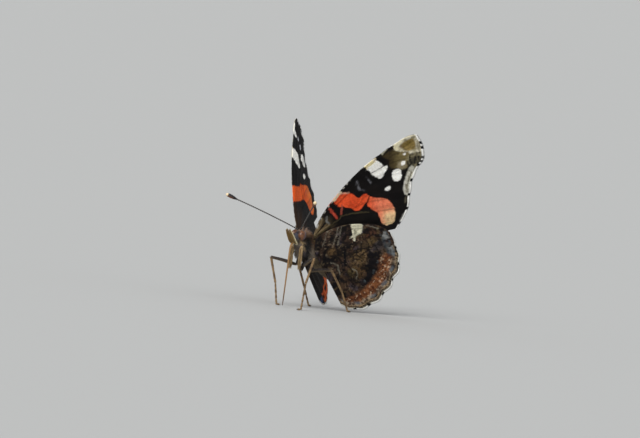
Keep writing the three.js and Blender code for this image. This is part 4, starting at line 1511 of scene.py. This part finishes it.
scale_row, scale_pitch = 0.214, 0.166
scale_breadth = 1.35 * scale_pitch
scale_overlap = 1.75
scale_thickness = 0.045
scale_form = template(
    "scale",
    [(-0.3, 0, -0.3), (0.3, 0, -0.3), (0.5, 0.62, 0.1), (0, 1, 0.35), (-0.5, 0.62, 0.1), (0, 0.55, 0.55)],
    [(0, 1, 5), (1, 2, 5), (2, 3, 5), (3, 4, 5), (4, 0, 5), (4, 3, 2), (4, 2, 1), (4, 1, 0)],
)
scale_finish = tinted_finish("wing scales", 0.7, 1500, 0.25, 0.0, specular=0.12)
membrane_finish = tinted_finish("wing membrane", 0.7, 4000, 0.5, 0.3, specular=0.15)


def wing_scales(name, wing, side, paints, seed):
    parts = []
    for under, paint in zip((True, False), paints):
        span, chord, rows = scale_roots(wing, scale_row, scale_pitch, seed + under)
        count = len(span)
        here, outwards, facing = wing_frame(wing, side, span, chord, under)
        half = np.full(count, membrane_half)
        ahead = wing_surface(wing, side, span + 0.02, chord, half)
        back = wing_surface(wing, side, span, chord, half)
        row_length = np.linalg.norm(ahead - back, axis=1) / 0.02 / rows
        places = wing_place(wing, span, chord)
        chance = np.random.default_rng(seed + 7 + under)
        rise = (0.06 + chance.normal(0, 0.03, count))[:, None]
        swing = chance.normal(0, 0.08, count)[:, None]
        lie = unit(outwards + facing * rise + np.cross(outwards, facing) * swing)
        margin = wing_place(wing, np.full(count, membrane_end + 0.003), chord)
        room = np.clip(np.linalg.norm(margin - places, axis=1), 0.12, 9)
        size = np.stack([
            scale_breadth * chance.uniform(0.9, 1.1, count),
            np.minimum(row_length * scale_overlap, room) * chance.uniform(0.9, 1.1, count),
            np.full(count, scale_thickness),
        ], 1)
        tint = wing_tint(wing, paint, places, span, chord)
        parts.append((here, lie, facing, size, tint, wing_map(wing, places, under)))
    data = root_points(name, *(np.concatenate(column) for column in zip(*parts)))
    return plant(name, data, scale_form, scale_finish, 0.14, seed)


fringe_pitch = 0.035
fringe_end = 0.9945
fringe_rows = [(True, 0.9), (True, 0.1), (False, 0.9)]
fringe_size = (0.1, 0.03)


def wing_fringe(name, wing, side, seed):
    """Three rows of long narrow scales along the outer margin, each row from its side and height of
    the membrane's edge, white but for a dark tuft where each vein ends."""
    parts = []
    for row, (under, rise) in enumerate(fringe_rows):
        chance = np.random.default_rng(seed + row)
        count = int(reach_along(wing["outer"])[-1] / fringe_pitch)
        chord = np.clip((np.arange(count) + chance.uniform(0, 1, count)) / count, 0.002, 0.998)
        span = np.full(count, membrane_end - 0.006) + chance.normal(0, 0.002, count)
        here, outwards, facing = wing_frame(wing, side, span, chord, under)
        here = here - facing * membrane_half * (1 - rise)
        places = wing_place(wing, span, chord)
        height = np.full(count, (1 if under else -1) * membrane_half * rise)
        way = wing_surface(wing, side, np.full(count, fringe_end), chord, height) - here
        swing = chance.normal(0, 0.1, count)[:, None]
        lie = unit(unit(way) + np.cross(outwards, facing) * swing)
        length = np.linalg.norm(way, axis=1) * chance.uniform(0.75, 1, count)
        breadth, thickness = fringe_size
        size = np.stack([np.full(count, breadth), length, np.full(count, thickness)], 1)
        rim = wing_place(wing, np.ones(count), chord)
        tufts = [spot(rim, centre, wing["fringe_gap"], 0.12) for centre in wing["fringe_dark"]]
        tint = blended(srgb(246, 244, 238), black, np.max(tufts, axis=0))
        parts.append((here, lie, facing, size, tint, wing_map(wing, places, under)))
    data = root_points(name, *(np.concatenate(column) for column in zip(*parts)))
    return plant(name, data, scale_form, scale_finish, 0.08, seed)


for seed, (kind, (side_name, side)) in enumerate(product(wings, sides)):
    wing, under_paint, upper_paint, (spans, chords) = wings[kind]
    node = f"{kind}_{side_name}"
    plate = membrane(f"{node}_membrane", wing, side, under_paint, upper_paint, spans, chords)
    take_place(plate, kind, node, finish=membrane_finish)
    coat = wing_scales(f"{node}_scales", wing, side, (under_paint, upper_paint), 100 + 10 * seed)
    take_place(coat, kind)
    fringe = wing_fringe(f"{node}_fringe", wing, side, 200 + 10 * seed)
    take_place(fringe, kind)
